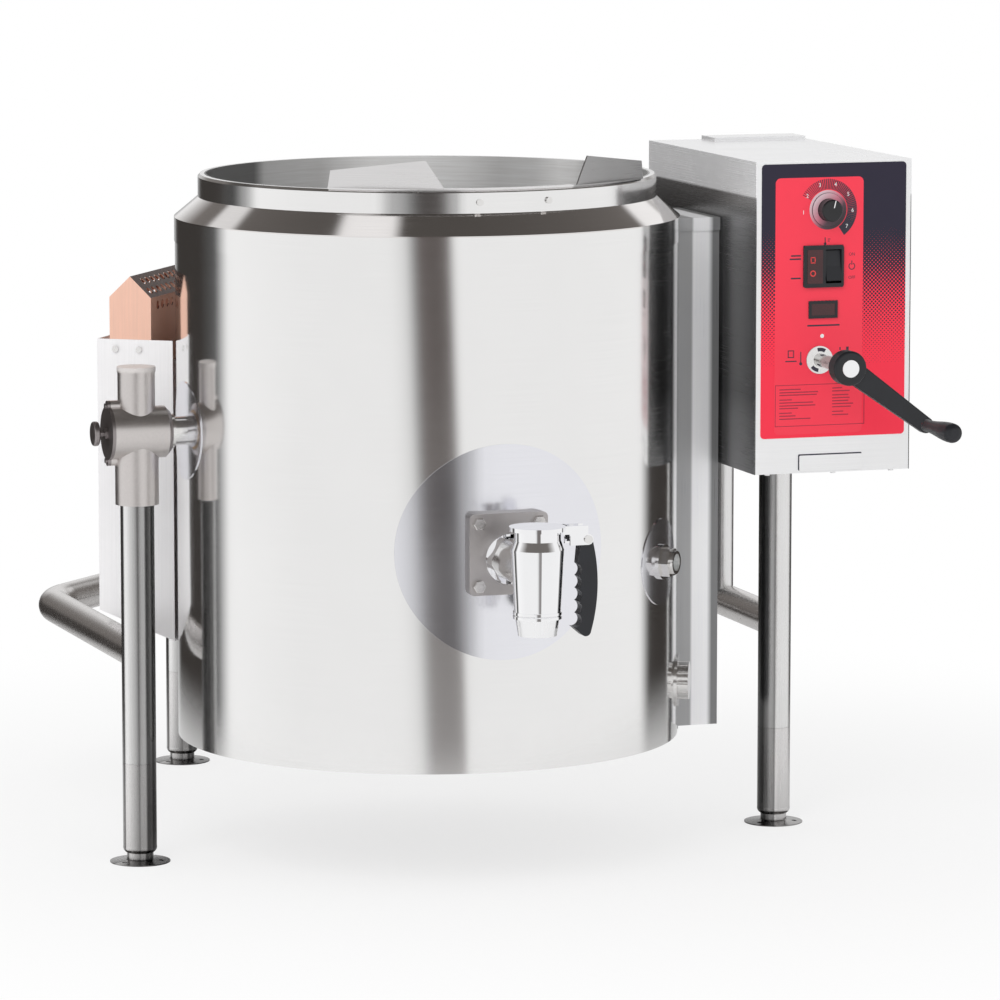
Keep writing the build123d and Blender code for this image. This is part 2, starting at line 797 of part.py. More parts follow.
def bushes():
    """Plain bearings: one in the left housing, two for the right trunnion, two for the worm."""
    bore = trunnionRadius + runningGap
    outer = trunnionRadius + bushWall
    pieces = [axle(outer, -barrelOuter + 4, -barrelInner) - axle(bore, -barrelOuter, -barrelInner)]
    for x in uprights():
        pieces.append(axle(outer, x, x + framePlate) - axle(bore, x, x + framePlate))
    for side in (-1, 1):
        start = side * wormBearingReach
        end = start + side * framePlate
        bush = spindle(crankShaftRadius + wormBushWall, wormX, wormHeight, start, end)
        pieces.append(bush - spindle(crankShaftRadius + runningGap, wormX, wormHeight, start, end))
    return group(pieces)


def uprights():
    return consoleLeft + uprightInset, wormX + uprightReach


def teeHousing():
    """The cast housing on the left leg: cross barrel, stub above, sleeve below, two ears."""
    height = trunnionHeight
    body = rod(barrelRadius, (-barrelOuter, 0, height), (-barrelInner, 0, height))
    body = chamfer(body.faces().sort_by(Axis.X)[-1].edges(), 7)
    body += rod(stubRadius, (leftLegX, 0, height), (leftLegX, 0, stubTop))
    body += rod(stubRadius + 1, (leftLegX, 0, stubTop), (leftLegX, 0, stubTop + stubCapThickness))
    body += rod(sleeveRadius, (leftLegX, 0, sleeveBottom), (leftLegX, 0, height))
    for side in (-1, 1):
        z = height + side * earReach
        body += rod(earRadius, (-barrelOuter, 0, z), (-barrelOuter + 22, 0, z))
    body -= rod(trunnionRadius + bushWall, (-barrelOuter - 1, 0, height), (-barrelInner + 1, 0, height))
    return body - rod(tubeRadius, (leftLegX, 0, sleeveBottom - 1), (leftLegX, 0, legTops()[0]))


def housingCap():
    """The end cover of the housing, its two screws and the pull knob at its middle."""
    x = -barrelOuter
    height = trunnionHeight
    cap = rod(barrelRadius + 1, (x - capPlate, 0, height), (x, 0, height))
    for side in (-1, 1):
        z = height + side * earReach
        cap += rod(earRadius, (x - capPlate, 0, z), (x, 0, z))
        cap += rod(4, (x - capPlate - 3, 0, z), (x - capPlate, 0, z))
    cap += rod(8, (x - capPlate - 4, 0, height), (x - capPlate, 0, height))
    cap += rod(4.5, (x - capPlate - knobStand, 0, height), (x - capPlate, 0, height))
    knob = rod(knobRadius, (x - capPlate - knobStand, 0, height), (x - capPlate - knobStand + 9, 0, height))
    return cap + fillet(knob.edges(), 3)


# ---------------------------------------------------------------- crank and worm
def wormShaft():
    """The crank shaft with its single-start worm, right-handed, above the sector."""
    frontEnd = consoleFront - crankReach + crankHubThickness
    length = wormTurns * wormPitch
    outer = wormRadius + gearModule * 0.9
    path = Helix(wormPitch, length, wormRootRadius, center=(0, 0, -length / 2))
    base = wormPitch * 0.5 * 0.5 + 1.4
    tipHalf = gearModule * 0.42
    profile = make_face(Polyline((wormRootRadius - 1.5, -base), (outer, -tipHalf), (outer, tipHalf),
                                 (wormRootRadius - 1.5, base), close=True))
    start = Pos(0, 0, -length / 2) * (Plane.XZ * profile)
    thread = sweep(start, path=path, is_frenet=True)
    thread += Cylinder(wormRootRadius, length + 2 * wormPitch)
    plane = Plane(Vector(wormX, 0, wormHeight), x_dir=-outZ, z_dir=outY)
    worm = plane.location * thread
    return worm + spindle(crankShaftRadius, wormX, wormHeight, frontEnd, wormBearingReach + framePlate + 4)


def crankEnd():
    angle = math.radians(crankDrop)
    return wormX + crankThrow * math.cos(angle), wormHeight - crankThrow * math.sin(angle)


def crankArm():
    """The moulded arm, tapered from the hub to the grip."""
    face = consoleFront - crankReach
    x, z = crankEnd()
    hub = rod(crankHubRadius, (wormX, face, wormHeight), (wormX, face + crankHubThickness, wormHeight))
    hub = fillet(hub.edges(), 4)
    along = Vector(x - wormX, 0, z - wormHeight)
    plane = Plane(Vector(wormX, face + crankHubThickness - 4, wormHeight), x_dir=along, z_dir=-outY)
    arm = make_face([Line((0, -17), (crankThrow, -crankEndRadius)),
                     ThreePointArc((crankThrow, -crankEndRadius), (crankThrow + crankEndRadius, 0),
                                   (crankThrow, crankEndRadius)),
                     Line((crankThrow, crankEndRadius), (0, 17)), Line((0, 17), (0, -17))])
    bar = extrude(plane * arm, crankArmThickness)
    bar = fillet(bar.edges().filter_by(Axis.Y, reverse=True), 3)
    arm = hub + bar
    arm -= rod(crankShaftRadius, (wormX, face + 8, wormHeight), (wormX, face + 60, wormHeight))
    arm -= rod(crankCapRadius, (wormX, face - 1, wormHeight), (wormX, face + 2, wormHeight))
    return arm - rod(gripPinRadius, (x, face - 100, z), (x, face + 60, z))


def crankCap():
    face = consoleFront - crankReach
    return rod(crankCapRadius, (wormX, face - 1, wormHeight), (wormX, face + 2, wormHeight))


def gripSeat():
    """Where the grip starts, on the arm's front."""
    return consoleFront - crankReach + crankHubThickness - 4 - crankArmThickness


def crankPin():
    x, z = crankEnd()
    start = gripSeat()
    pin = spindle(gripPinRadius, x, z, start - gripLength + 8, start + crankArmThickness)
    return pin + spindle(gripPinRadius + 3, x, z, start + crankArmThickness, start + crankArmThickness + 3)


def crankGrip():
    """The turned grip, fatter towards its free end, free to spin on its pin."""
    x, z = crankEnd()
    start = gripSeat() - 0.3
    free = gripLength
    bore = gripPinRadius + runningGap
    outline = [Line((bore, 0), (gripNeck, 0)),
               Spline((gripNeck, 0), (gripNeck + 0.5, free * 0.25), (gripRadius, free * 0.75),
                      (gripRadius, free - 9)),
               ThreePointArc((gripRadius, free - 9), (gripRadius - 3, free - 2.5), (gripRadius - 9, free)),
               Line((gripRadius - 9, free), (0, free)), Line((0, free), (0, free - 6)),
               Line((0, free - 6), (bore, free - 6)), Line((bore, free - 6), (bore, 0))]
    grip = revolve(Plane.XZ * make_face(outline), Axis.Z)
    return Plane(Vector(x, start, z), x_dir=outX, z_dir=-outY).location * grip


# ---------------------------------------------------------------- console
def driveFrame():
    """The welded frame in the console: base, two uprights, two worm bearers and the rear stiffener."""
    low = consoleBottom + sheet
    left, right = uprights()
    half = wormBearingReach + framePlate
    frame = block(left, right + framePlate, -half - 30, postY + 12, low, low + framePlate)
    for x in (left, right):
        frame += block(x, x + framePlate, -half, half, low, wormHeight + 34)
    for y in (-wormBearingReach - framePlate, wormBearingReach):
        frame += block(left, right + framePlate, y, y + framePlate, wormHeight - 34, wormHeight + 34)
    frame -= axle(trunnionRadius + bushWall, left - 5, right + 2 * framePlate)
    return frame - spindle(crankShaftRadius + wormBushWall, wormX, wormHeight, -2 * half, 2 * half)


def consoleShell():
    """The folded wrap: left side, top and right side, with the raised cover strip at the rear."""
    shell = block(consoleLeft, consoleRight, consoleFront, consoleBack, consoleBottom, consoleTop)
    shell -= block(consoleLeft + sheet, consoleRight - sheet, consoleFront - 1, consoleBack + 1,
                   consoleBottom - 1, consoleTop - sheet)
    shell += block(consoleLeft + coverLeft, consoleRight - coverRight, consoleBack - coverDepth, consoleBack,
                   consoleTop, consoleTop + coverRise)
    return shell - axle(trunnionRadius + 2, consoleLeft - 1, consoleLeft + 5)


def panelCutouts():
    """Openings shared by the front panel and the overlay."""
    shapes = [(dialX, dialZ, Circle(dialShaftRadius + 0.5)),
              (switchX, switchZ, Rectangle(switchWidth - 4, switchHeight - 4)),
              (switchX, lampZ, Rectangle(lampWidth - 4, lampHeight - 4)),
              (wormX, wormHeight, Circle(crankRingRadius - 4))]
    return [extrude(front(x, z, consoleFront + 10) * shape, 20) for x, z, shape in shapes]


def consoleFrontPanel():
    """The front tray, set between the sides, with its edges turned back."""
    x0, x1 = consoleLeft + sheet, consoleRight - sheet
    z0, z1 = consoleBottom + sheet, consoleTop - sheet
    back = consoleFront + 14
    panel = block(x0, x1, consoleFront, back, z0, z1)
    panel -= block(x0 + sheet, x1 - sheet, consoleFront + sheet, back + 1, z0 + sheet, z1 - sheet)
    return panel - panelCutouts()


def controlOverlay():
    """The printed face sheet."""
    x0, x1 = consoleLeft + overlaySide, consoleRight - overlaySide
    z0, z1 = consoleBottom + overlayBottom, consoleTop - overlayTop
    face = block(x0, x1, consoleFront - overlaySheet, consoleFront, z0, z1)
    face = fillet(face.edges().filter_by(Axis.Y), 6)
    return face - panelCutouts()


def consoleBackPanel():
    """The rear panel and floor in one folded piece, with the gas coupling."""
    x0, x1 = consoleLeft + sheet, consoleRight - sheet
    back = block(x0, x1, consoleBack - sheet, consoleBack, consoleBottom, consoleTop - sheet)
    back += block(x0, x1, consoleFront, consoleBack, consoleBottom, consoleBottom + sheet)
    gasX, gasZ = wormX + gasAside, consoleBottom + gasRise
    back += spindle(gasRadius, gasX, gasZ, consoleBack - 20, consoleBack + gasReach)
    back -= spindle(gasBore, gasX, gasZ, consoleBack - 21, consoleBack + gasReach + 1)
    for x in (consoleLeft + 25, wormX + 28, consoleRight - 25):
        back += rod(4, (x, consoleFront + 12, consoleBottom - 3), (x, consoleFront + 12, consoleBottom))
    back -= rod(tubeRadius, (rightLegX, 0, consoleBottom - 5), (rightLegX, 0, consoleBottom + sheet))
    return back - rod(postRadius, (postX, postY, consoleBottom - 5), (postX, postY, consoleBottom + sheet))


def crankRing():
    """The bright flanged ring that guides the crank shaft at the panel."""
    face = consoleFront - overlaySheet
    ring = spindle(crankRingRadius, wormX, wormHeight, face - 2, face)
    ring += spindle(crankRingRadius - 4, wormX, wormHeight, face, consoleFront + 8)
    return ring - spindle(crankShaftRadius + runningGap, wormX, wormHeight, face - 9, consoleFront + 10)


def tempKnob():
    """The dial: skirt, knob with a pointer rib, and the shaft through the panel."""
    face = consoleFront - overlaySheet - 0.4
    skirt = rod(dialSkirtRadius, (dialX, face - 2, dialZ), (dialX, face, dialZ))
    knob = rod(dialKnobRadius, (dialX, face - dialKnobDepth, dialZ), (dialX, face - 2, dialZ))
    knob = chamfer(knob.faces().sort_by(Axis.Y)[0].edges(), 2)
    shaft = rod(dialShaftRadius, (dialX, face, dialZ), (dialX, consoleFront + 12, dialZ))
    return skirt + knob + shaft


def switchBlock():
    """The black switch frame with its fixed lamp window on the left half."""
    face = consoleFront - overlaySheet
    proud = face - switchProud
    w, h = switchWidth / 2, switchHeight / 2
    inner = h - 6
    frame = block(switchX - w, switchX + w, proud, face, switchZ - h, switchZ + h)
    frame = fillet(frame.edges().filter_by(Axis.Y), 4)
    frame += switchBox(2 - w, w - 2, face, consoleFront + 22, h - 2)
    frame -= switchBox(3, w - 4, proud - 1, consoleFront + 18, inner)
    frame -= switchBox(5 - w, -2, proud - 1, proud + 1, inner)
    pin = rod(1.5, (switchX + 2, rockerY(), switchZ), (switchX + w - 3, rockerY(), switchZ))
    return frame + pin


def switchBox(left, right, y0, y1, half):
    """A block about the switch's middle, in the width, depth and half height given."""
    return block(switchX + left, switchX + right, y0, y1, switchZ - half, switchZ + half)


def rockerY():
    return consoleFront + 8


def powerRocker():
    """The rocker, resting with its lower half pressed in."""
    w, h = switchWidth / 2, switchHeight / 2
    x0, x1 = switchX + 3.4, switchX + w - 4.4
    half = h - 8
    plane = Plane(Vector(x0, rockerY(), switchZ), x_dir=-outY, z_dir=outX)
    reach = rockerY() - consoleFront + overlaySheet + switchProud
    outline = make_face(Polyline((0, -half + 6), (reach - 5, -half), (reach - 2, 0), (reach + 3, half - 2),
                                 (reach - 10, half), (0, half - 10), (-5, 0), close=True))
    body = extrude(plane * outline, x1 - x0)
    return body - rod(1.5 + runningGap, (switchX, rockerY(), switchZ), (switchX + w, rockerY(), switchZ))


def signalLamp():
    """The indicator window and its black surround."""
    face = consoleFront - overlaySheet
    lamp = lampBox(0, face - 2.5, face) + lampBox(2, face, consoleFront + 14)
    return lamp - lampBox(4, face - 3, face - 0.5)


def lampBox(inset, y0, y1):
    """A block of the lamp's outline, drawn in by the inset."""
    w, h = lampWidth / 2 - inset, lampHeight / 2 - inset
    return block(switchX - w, switchX + w, y0, y1, lampZ - h, lampZ + h)


def lensInserts():
    """Red lenses: the signal lamp's and the switch block's left window."""
    face = consoleFront - overlaySheet
    proud = face - switchProud
    pair = switchBox(5 - switchWidth / 2, -2, proud - 0.5, proud + 1, switchHeight / 2 - 6)
    return group([lampBox(4, face - 1.8, face - 0.5), pair])


# ---------------------------------------------------------------- stand
def legTops():
    return trunnionHeight - barrelRadius - 8, consoleBottom + sheet, railHeight


def leg(x, y, top):
    """A tube leg with the threaded insert for its foot."""
    bore = tubeRadius - tubeWall
    insert = tube(bore, footStemRadius + runningGap, (x, y, footSeam), (x, y, footSeam + insertLength))
    return tube(tubeRadius, bore, (x, y, footSeam), (x, y, top)) + insert


def rearLeg():
    return leg(rearLegX, rearLegY, railHeight) - rearRail(tubeRadius)


def railPath():
    """The stand's rail in plan: from the left leg round the back to the right leg."""
    corner = Vector(rearLegX, rearLegY, railHeight)
    before = Vector(leftBendX, leftBendY, railHeight)
    after = Vector(rightLegX, rightBendY, railHeight)
    back = ((before - corner).normalized() + (after - corner).normalized()).normalized()
    half = (before - corner).get_angle(after - corner) / 2
    corner = corner - back * (railBend / math.sin(math.radians(half)) - railBend)
    return [Vector(leftLegX, 0, railHeight), before, corner, after, Vector(rightLegX, 0, railHeight)]


def rearRail(radius):
    points = railPath()
    path = FilletPolyline(*points, radius=railBend)
    start = (points[1] - points[0]).normalized()
    return sweep(Plane(points[0], z_dir=start) * Circle(radius), path=path)


def railHalf(keep):
    """One half of the rail, coped to its legs."""
    low, high = railHeight - railBend, railHeight + railBend
    rail = rearRail(tubeRadius) - rearRail(tubeRadius - tubeWall)
    for x in (leftLegX, rightLegX):
        rail -= rod(tubeRadius + weldGap, (x, 0, low), (x, 0, high))
    return rail & block(*keep, -railBend, 2 * rearLegY, low, high)


def leftRail():
    return railHalf((2 * leftLegX, rearLegX))


def rightRail():
    return railHalf((rearLegX, 2 * rightLegX))


def consolePost():
    start, end = (postX, postY, railHeight), (postX, postY, consoleBottom + sheet)
    return tube(postRadius, postRadius - tubeWall, start, end) - rearRail(tubeRadius)


def foot(x, y):
    """The bullet foot: bolt-down flange, ankle, rounded sleeve and threaded stem."""
    top = footSeam - footGap
    outline = [Line((0, 0), (footFlangeRadius, 0)), Line((footFlangeRadius, 0), (footFlangeRadius, 1.5)),
               Line((footFlangeRadius, 1.5), (ankleRadius + 2, footFlangeThickness)),
               Line((ankleRadius + 2, footFlangeThickness), (ankleRadius, footFlangeThickness + 1)),
               Line((ankleRadius, footFlangeThickness + 1), (ankleRadius, ankleTop)),
               ThreePointArc((ankleRadius, ankleTop), (tubeRadius - 1.2, ankleTop + 3.5),
                             (tubeRadius, ankleTop + 10)),
               Line((tubeRadius, ankleTop + 10), (tubeRadius, top)),
               Line((tubeRadius, top), (footStemRadius, top)),
               Line((footStemRadius, top), (footStemRadius, top + footStemLength)),
               Line((footStemRadius, top + footStemLength), (0, top + footStemLength)),
               Line((0, top + footStemLength), (0, 0))]
    piece = revolve(Plane.XZ * make_face(outline), Axis.Z)
    for hole in range(footHoles):
        turn = 90 + 360 / footHoles * hole
        piece -= Rot(0, 0, turn) * Pos(footHoleCircle, 0, 0) * Cylinder(footHoleRadius, 12)
    return Pos(x, y, 0) * piece


# ---------------------------------------------------------------- flue
def flueFrame():
    """The flue's own axes: X outwards from the drum, Y along it to the front."""
    angle = math.radians(flueTurn)
    return Plane(Vector(0, 0, 0), x_dir=Vector(-math.cos(angle), math.sin(angle), 0), z_dir=outZ).location


def flueSide(inner, outer, slope):
    """The flue box seen from the front, with its sloping underside."""
    return make_face(Polyline((inner, flueBottomInner + slope), (outer, flueBottomOuter + slope),
                              (outer, flueTop), (inner, flueTop), close=True))


def flueSpan():
    """The box's rear and front ends along the flue's own Y axis."""
    return -flueBack, flueFront


def flueBox():
    """The open-topped duct on the drum, closed below by its sloping floor."""
    low, high = flueSpan()
    plane = Plane(Vector(0, high, 0), x_dir=outX, z_dir=-outY)
    duct = extrude(plane * flueSide(flueInner, flueOuter, 0), high - low)
    inside = plane.offset(sheet) * flueSide(flueInner - 5, flueOuter - sheet, sheet)
    duct -= extrude(inside, high - low - 2 * sheet)
    duct -= block(flueInner - 5, flueOuter - sheet, low + sheet, high - sheet, flueTop - 5, flueTop + 5)
    for place in flueScrewPlaces():
        duct -= flueScrewHole(place)
    return flueFrame() * duct - rod(drumRadius, (0, 0, drumBottom), (0, 0, rimTop))


def flueScrewPlaces():
    height = flueTop - hoodScrewDrop
    return [(hoodOuter - hoodScrewOuter, height), (hoodInner + hoodScrewInner, height)]


def flueScrewHole(place):
    return Plane(Vector(place[0], flueFront, place[1]), z_dir=outY).location * Cylinder(2.5, 20)


def flueScrew(place):
    low = flueFront
    shank = rod(2.5, (place[0], low - 2 * sheet, place[1]), (place[0], low + 0.5, place[1]))
    return shank + rod(sheetScrewHead, (place[0], low, place[1]), (place[0], low + 3, place[1]))


def flueHood():
    """The house-shaped hood over the duct: solid ends, pierced roof and upper sides."""
    middle = (hoodInner + hoodOuter) / 2
    ends = [(hoodInner, hoodFoot), (hoodOuter, hoodFoot), (hoodOuter, hoodEave), (middle, hoodRidge),
            (hoodInner, hoodEave)]
    thin = 1.2
    low, high = -flueBack + sheet, flueFront - sheet
    plane = Plane(Vector(0, high, 0), x_dir=outX, z_dir=-outY)
    outer = extrude(plane * make_face(Polyline(*ends, close=True)), high - low)
    inside = [(hoodInner + thin, hoodFoot - 1), (hoodOuter - thin, hoodFoot - 1),
              (hoodOuter - thin, hoodEave - thin / 2),
              (middle, hoodRidge - 1.5 * thin), (hoodInner + thin, hoodEave - thin / 2)]
    inner = extrude(plane.offset(thin) * make_face(Polyline(*inside, close=True)), high - low - 2 * thin)
    hood = outer - inner
    half = (hoodOuter - hoodInner) / 2
    slope = math.degrees(math.atan2(hoodRidge - hoodEave, half))
    rows = []
    for side in (-1, 1):
        for share in (0.3, 0.72):
            height = hoodRidge - (hoodRidge - hoodEave) * share
            rows.append((Pos(middle + side * half * share, 0, height) * Rot(0, side * slope, 0), share))
        rows.append((Pos(middle + side * half, 0, hoodEave - 2 * hoodHoleRadius) * Rot(0, 90, 0), 0.3))
    step = 3.1 * hoodHoleRadius
    count = int((high - low - 3 * hoodHoleRadius) / step)
    holes = []
    for spot, share in rows:
        for hole in range(count):
            along = low + 2 * hoodHoleRadius + step * (hole + (0.5 if share > 0.5 else 0))
            holes.append(Pos(0, along, 0) * spot * Cylinder(hoodHoleRadius, 6))
    return flueFrame() * (hood - holes - [flueScrewHole(place) for place in flueScrewPlaces()])


# ---------------------------------------------------------------- all pieces
nodes = {
    "outer_shroud": outerShroud, "shroud_band": shroudBand, "shoulder_ring": shoulderRing,
    "rim_band": rimBand, "inner_bowl": innerBowl, "jacket_shell": jacketShell,
    "insulation_liner": insulationLiner,
    "base_pan": basePan, "burner_ring": burnerRing, "pour_lip": pourLip, "sheet_screws": sheetScrews,
    "drawoff_patch": drawoffPatch, "drawoff_plate": drawoffPlate, "drawoff_bolts": drawoffBolts,
    "drawoff_tube": drawoffTube, "drawoff_nut": drawoffNut, "valve_body": valveBody, "valve_cap": valveCap,
    "valve_pin": valvePin, "valve_handle": valveHandle, "valve_plug": valvePlug, "side_patches": sidePatches,
    "sight_fitting": sightFitting, "sight_lens": sightLens, "drain_fitting": drainFitting,
    "channel_cover": channelCover, "channel_cap": channelCap, "trunnion_left": trunnionLeft,
    "trunnion_right": trunnionRight, "sector_gear": sectorGear, "flue_box": flueBox, "flue_hood": flueHood,
    "worm_shaft": wormShaft, "crank_arm": crankArm, "crank_cap": crankCap, "crank_pin": crankPin,
    "crank_grip": crankGrip, "bushes": bushes, "tee_housing": teeHousing, "housing_cap": housingCap,
    "drive_frame": driveFrame, "console_shell": consoleShell, "console_front": consoleFrontPanel,
    "console_back": consoleBackPanel, "control_overlay": controlOverlay, "crank_ring": crankRing,
    "temp_knob": tempKnob, "switch_block": switchBlock, "power_rocker": powerRocker,
    "signal_lamp": signalLamp,
    "lens_inserts": lensInserts, "rear_leg": rearLeg, "left_rail": leftRail, "right_rail": rightRail,
    "console_post": consolePost,
}

made = {name: build() for name, build in nodes.items()}
made["left_leg"] = leg(leftLegX, 0, legTops()[0])
made["right_leg"] = leg(rightLegX, 0, legTops()[1])
made["foot_left"] = foot(leftLegX, 0)
made["foot_right"] = foot(rightLegX, 0)
made["foot_rear"] = foot(rearLegX, rearLegY)

box = group(made.values()).bounding_box()
middle = ((box.min.X + box.max.X) / 2, (box.min.Y + box.max.Y) / 2)
os.makedirs("parts", exist_ok=True)
for name, shape in made.items():
    export_step(Pos(-middle[0], -middle[1], 0) * shape, f"parts/{name}.step")
print("kettle axis at", round(-middle[0], 3), round(-middle[1], 3), "of", len(made), "nodes")
print("tilt axis height", trunnionHeight, "worm at X", round(wormX - middle[0], 3), "Z", wormHeight)
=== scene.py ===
import bpy
import bmesh
import math
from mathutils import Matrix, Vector


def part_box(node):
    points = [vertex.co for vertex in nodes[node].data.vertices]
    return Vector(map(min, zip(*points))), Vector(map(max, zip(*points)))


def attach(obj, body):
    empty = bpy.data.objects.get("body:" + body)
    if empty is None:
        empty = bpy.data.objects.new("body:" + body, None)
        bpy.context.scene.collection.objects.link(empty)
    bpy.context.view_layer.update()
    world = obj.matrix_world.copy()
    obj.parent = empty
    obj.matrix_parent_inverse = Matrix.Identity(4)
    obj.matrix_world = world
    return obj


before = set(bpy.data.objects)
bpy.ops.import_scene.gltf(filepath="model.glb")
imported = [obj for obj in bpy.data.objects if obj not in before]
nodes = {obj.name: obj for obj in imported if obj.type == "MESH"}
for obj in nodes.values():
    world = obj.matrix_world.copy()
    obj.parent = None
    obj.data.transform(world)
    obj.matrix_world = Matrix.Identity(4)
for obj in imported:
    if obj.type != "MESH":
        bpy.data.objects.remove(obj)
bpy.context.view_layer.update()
print("frame loaded,", len(nodes), "nodes")

# The kettle's own axis, in the row's frame, in metres. Sizes below are in millimetres from that axis.
axisX, axisY = -0.0835, -0.13675
towardsFront = math.radians(107.26)      # turns the side that faces the camera to the angle 0


def at(x, y, z):
    return Vector((axisX + x / 1000, axisY + y / 1000, z / 1000))


# Small tools.
def take(piece):
    if bpy.context.object and bpy.context.object.mode != "OBJECT":
        bpy.ops.object.mode_set(mode="OBJECT")
    bpy.ops.object.select_all(action="DESELECT")
    piece.select_set(True)
    bpy.context.view_layer.objects.active = piece
    return piece


def settle(piece):
    take(piece)
    if piece.type != "MESH":
        bpy.ops.object.convert(target="MESH")
        piece = bpy.context.object
    bpy.ops.object.transform_apply(location=True, rotation=True, scale=True)
    return piece


def joined(pieces):
    take(pieces[0])
    for piece in pieces:
        piece.select_set(True)
    bpy.ops.object.join()
    return bpy.context.object


def finishPiece(piece, name, material, body):
    piece.name = name
    piece.data.name = name
    piece.data.materials.clear()
    piece.data.materials.append(skin[material])
    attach(piece, body)
    return piece


# Shader tools.
def node(tree, kind, **values):
    made = tree.nodes.new(kind)
    for key, value in values.items():
        if key.startswith("in_"):
            made.inputs[int(key[3:])].default_value = value
        else:
            setattr(made, key, value)
    return made


def sums(tree, operation, first, second=None):
    made = node(tree, "ShaderNodeMath", operation=operation)
    for index, value in enumerate((first, second)):
        if isinstance(value, (int, float)):
            made.inputs[index].default_value = value
        elif value is not None:
            tree.links.new(value, made.inputs[index])
    return made.outputs[0]


def colourOf(value):
    if isinstance(value, (int, float)):
        return value, value, value, 1
    return *value, 1


def ramp(tree, source, stops):
    made = tree.nodes.new("ShaderNodeValToRGB")
    elements = made.color_ramp.elements
    while len(elements) > 1:
        elements.remove(elements[-1])
    elements[0].position = stops[0][0]
    elements[0].color = colourOf(stops[0][1])
    for position, colour in stops[1:]:
        elements.new(position).color = colourOf(colour)
    tree.links.new(source, made.inputs[0])
    return made.outputs[0]


def ranged(tree, source, low, high, toLow=0.0, toHigh=1.0, smooth=False):
    made = node(tree, "ShaderNodeMapRange", in_1=low, in_2=high, in_3=toLow, in_4=toHigh)
    if smooth:
        made.interpolation_type = "SMOOTHSTEP"
    tree.links.new(source, made.inputs[0])
    return made.outputs[0]


def mixed(tree, share, first, second, kind="MIX"):
    made = node(tree, "ShaderNodeMix", data_type="RGBA", blend_type=kind)
    for index, value in ((0, share), (6, first), (7, second)):
        if isinstance(value, (int, float)) and index == 0:
            made.inputs[0].default_value = value
        elif isinstance(value, (int, float, tuple)):
            made.inputs[index].default_value = colourOf(value)
        else:
            tree.links.new(value, made.inputs[index])
    return made.outputs[2]


def placed(tree, scale=(1, 1, 1), shift=(0, 0, 0)):
    place = tree.nodes.new("ShaderNodeTexCoord").outputs["Object"]
    mapping = node(tree, "ShaderNodeMapping")
    mapping.inputs["Location"].default_value = shift
    mapping.inputs["Scale"].default_value = scale
    tree.links.new(place, mapping.inputs["Vector"])
    return mapping.outputs[0]


def split(tree, vector):
    made = tree.nodes.new("ShaderNodeSeparateXYZ")
    tree.links.new(vector, made.inputs[0])
    return made.outputs


def spun(tree, vector, angle):
    made = node(tree, "ShaderNodeVectorRotate", rotation_type="Z_AXIS")
    made.inputs["Angle"].default_value = angle
    tree.links.new(vector, made.inputs[0])
    return made.outputs[0]


def bearing(tree, vector):      # the angle round Z as 0 to 1, with the camera's side at a half
    x, y, _ = split(tree, spun(tree, vector, towardsFront))
    return sums(tree, "ADD", sums(tree, "DIVIDE", sums(tree, "ARCTAN2", y, x), 2 * math.pi), 0.5)


def degrees(stops):
    return [((angle + 180) / 360, value) for angle, value in stops]


def wrapped(tree, radius, centre, around, along):       # unrolls a round wall for its grain
    x, y, z = split(tree, placed(tree, shift=(-centre[0], -centre[1], 0)))
    turn = sums(tree, "ARCTAN2", y, x)
    join = tree.nodes.new("ShaderNodeCombineXYZ")
    tree.links.new(sums(tree, "MULTIPLY", turn, radius * around), join.inputs[0])
    tree.links.new(sums(tree, "MULTIPLY", z, along), join.inputs[1])
    return join.outputs[0]


def noise(tree, vector, scale, detail=3.0, rough=0.55):
    made = node(tree, "ShaderNodeTexNoise")
    made.inputs["Scale"].default_value = scale
    made.inputs["Detail"].default_value = detail
    made.inputs["Roughness"].default_value = rough
    tree.links.new(vector, made.inputs["Vector"])
    return made.outputs["Fac"]


def bump(tree, height, distance, strength, shader):
    made = node(tree, "ShaderNodeBump")
    made.inputs["Strength"].default_value = strength
    made.inputs["Distance"].default_value = distance
    tree.links.new(height, made.inputs["Height"])
    tree.links.new(made.outputs[0], shader.inputs["Normal"])


def blank(name):
    material = bpy.data.materials.new(name)
    material.use_nodes = True
    tree = material.node_tree
    return material, tree, tree.nodes["Principled BSDF"]


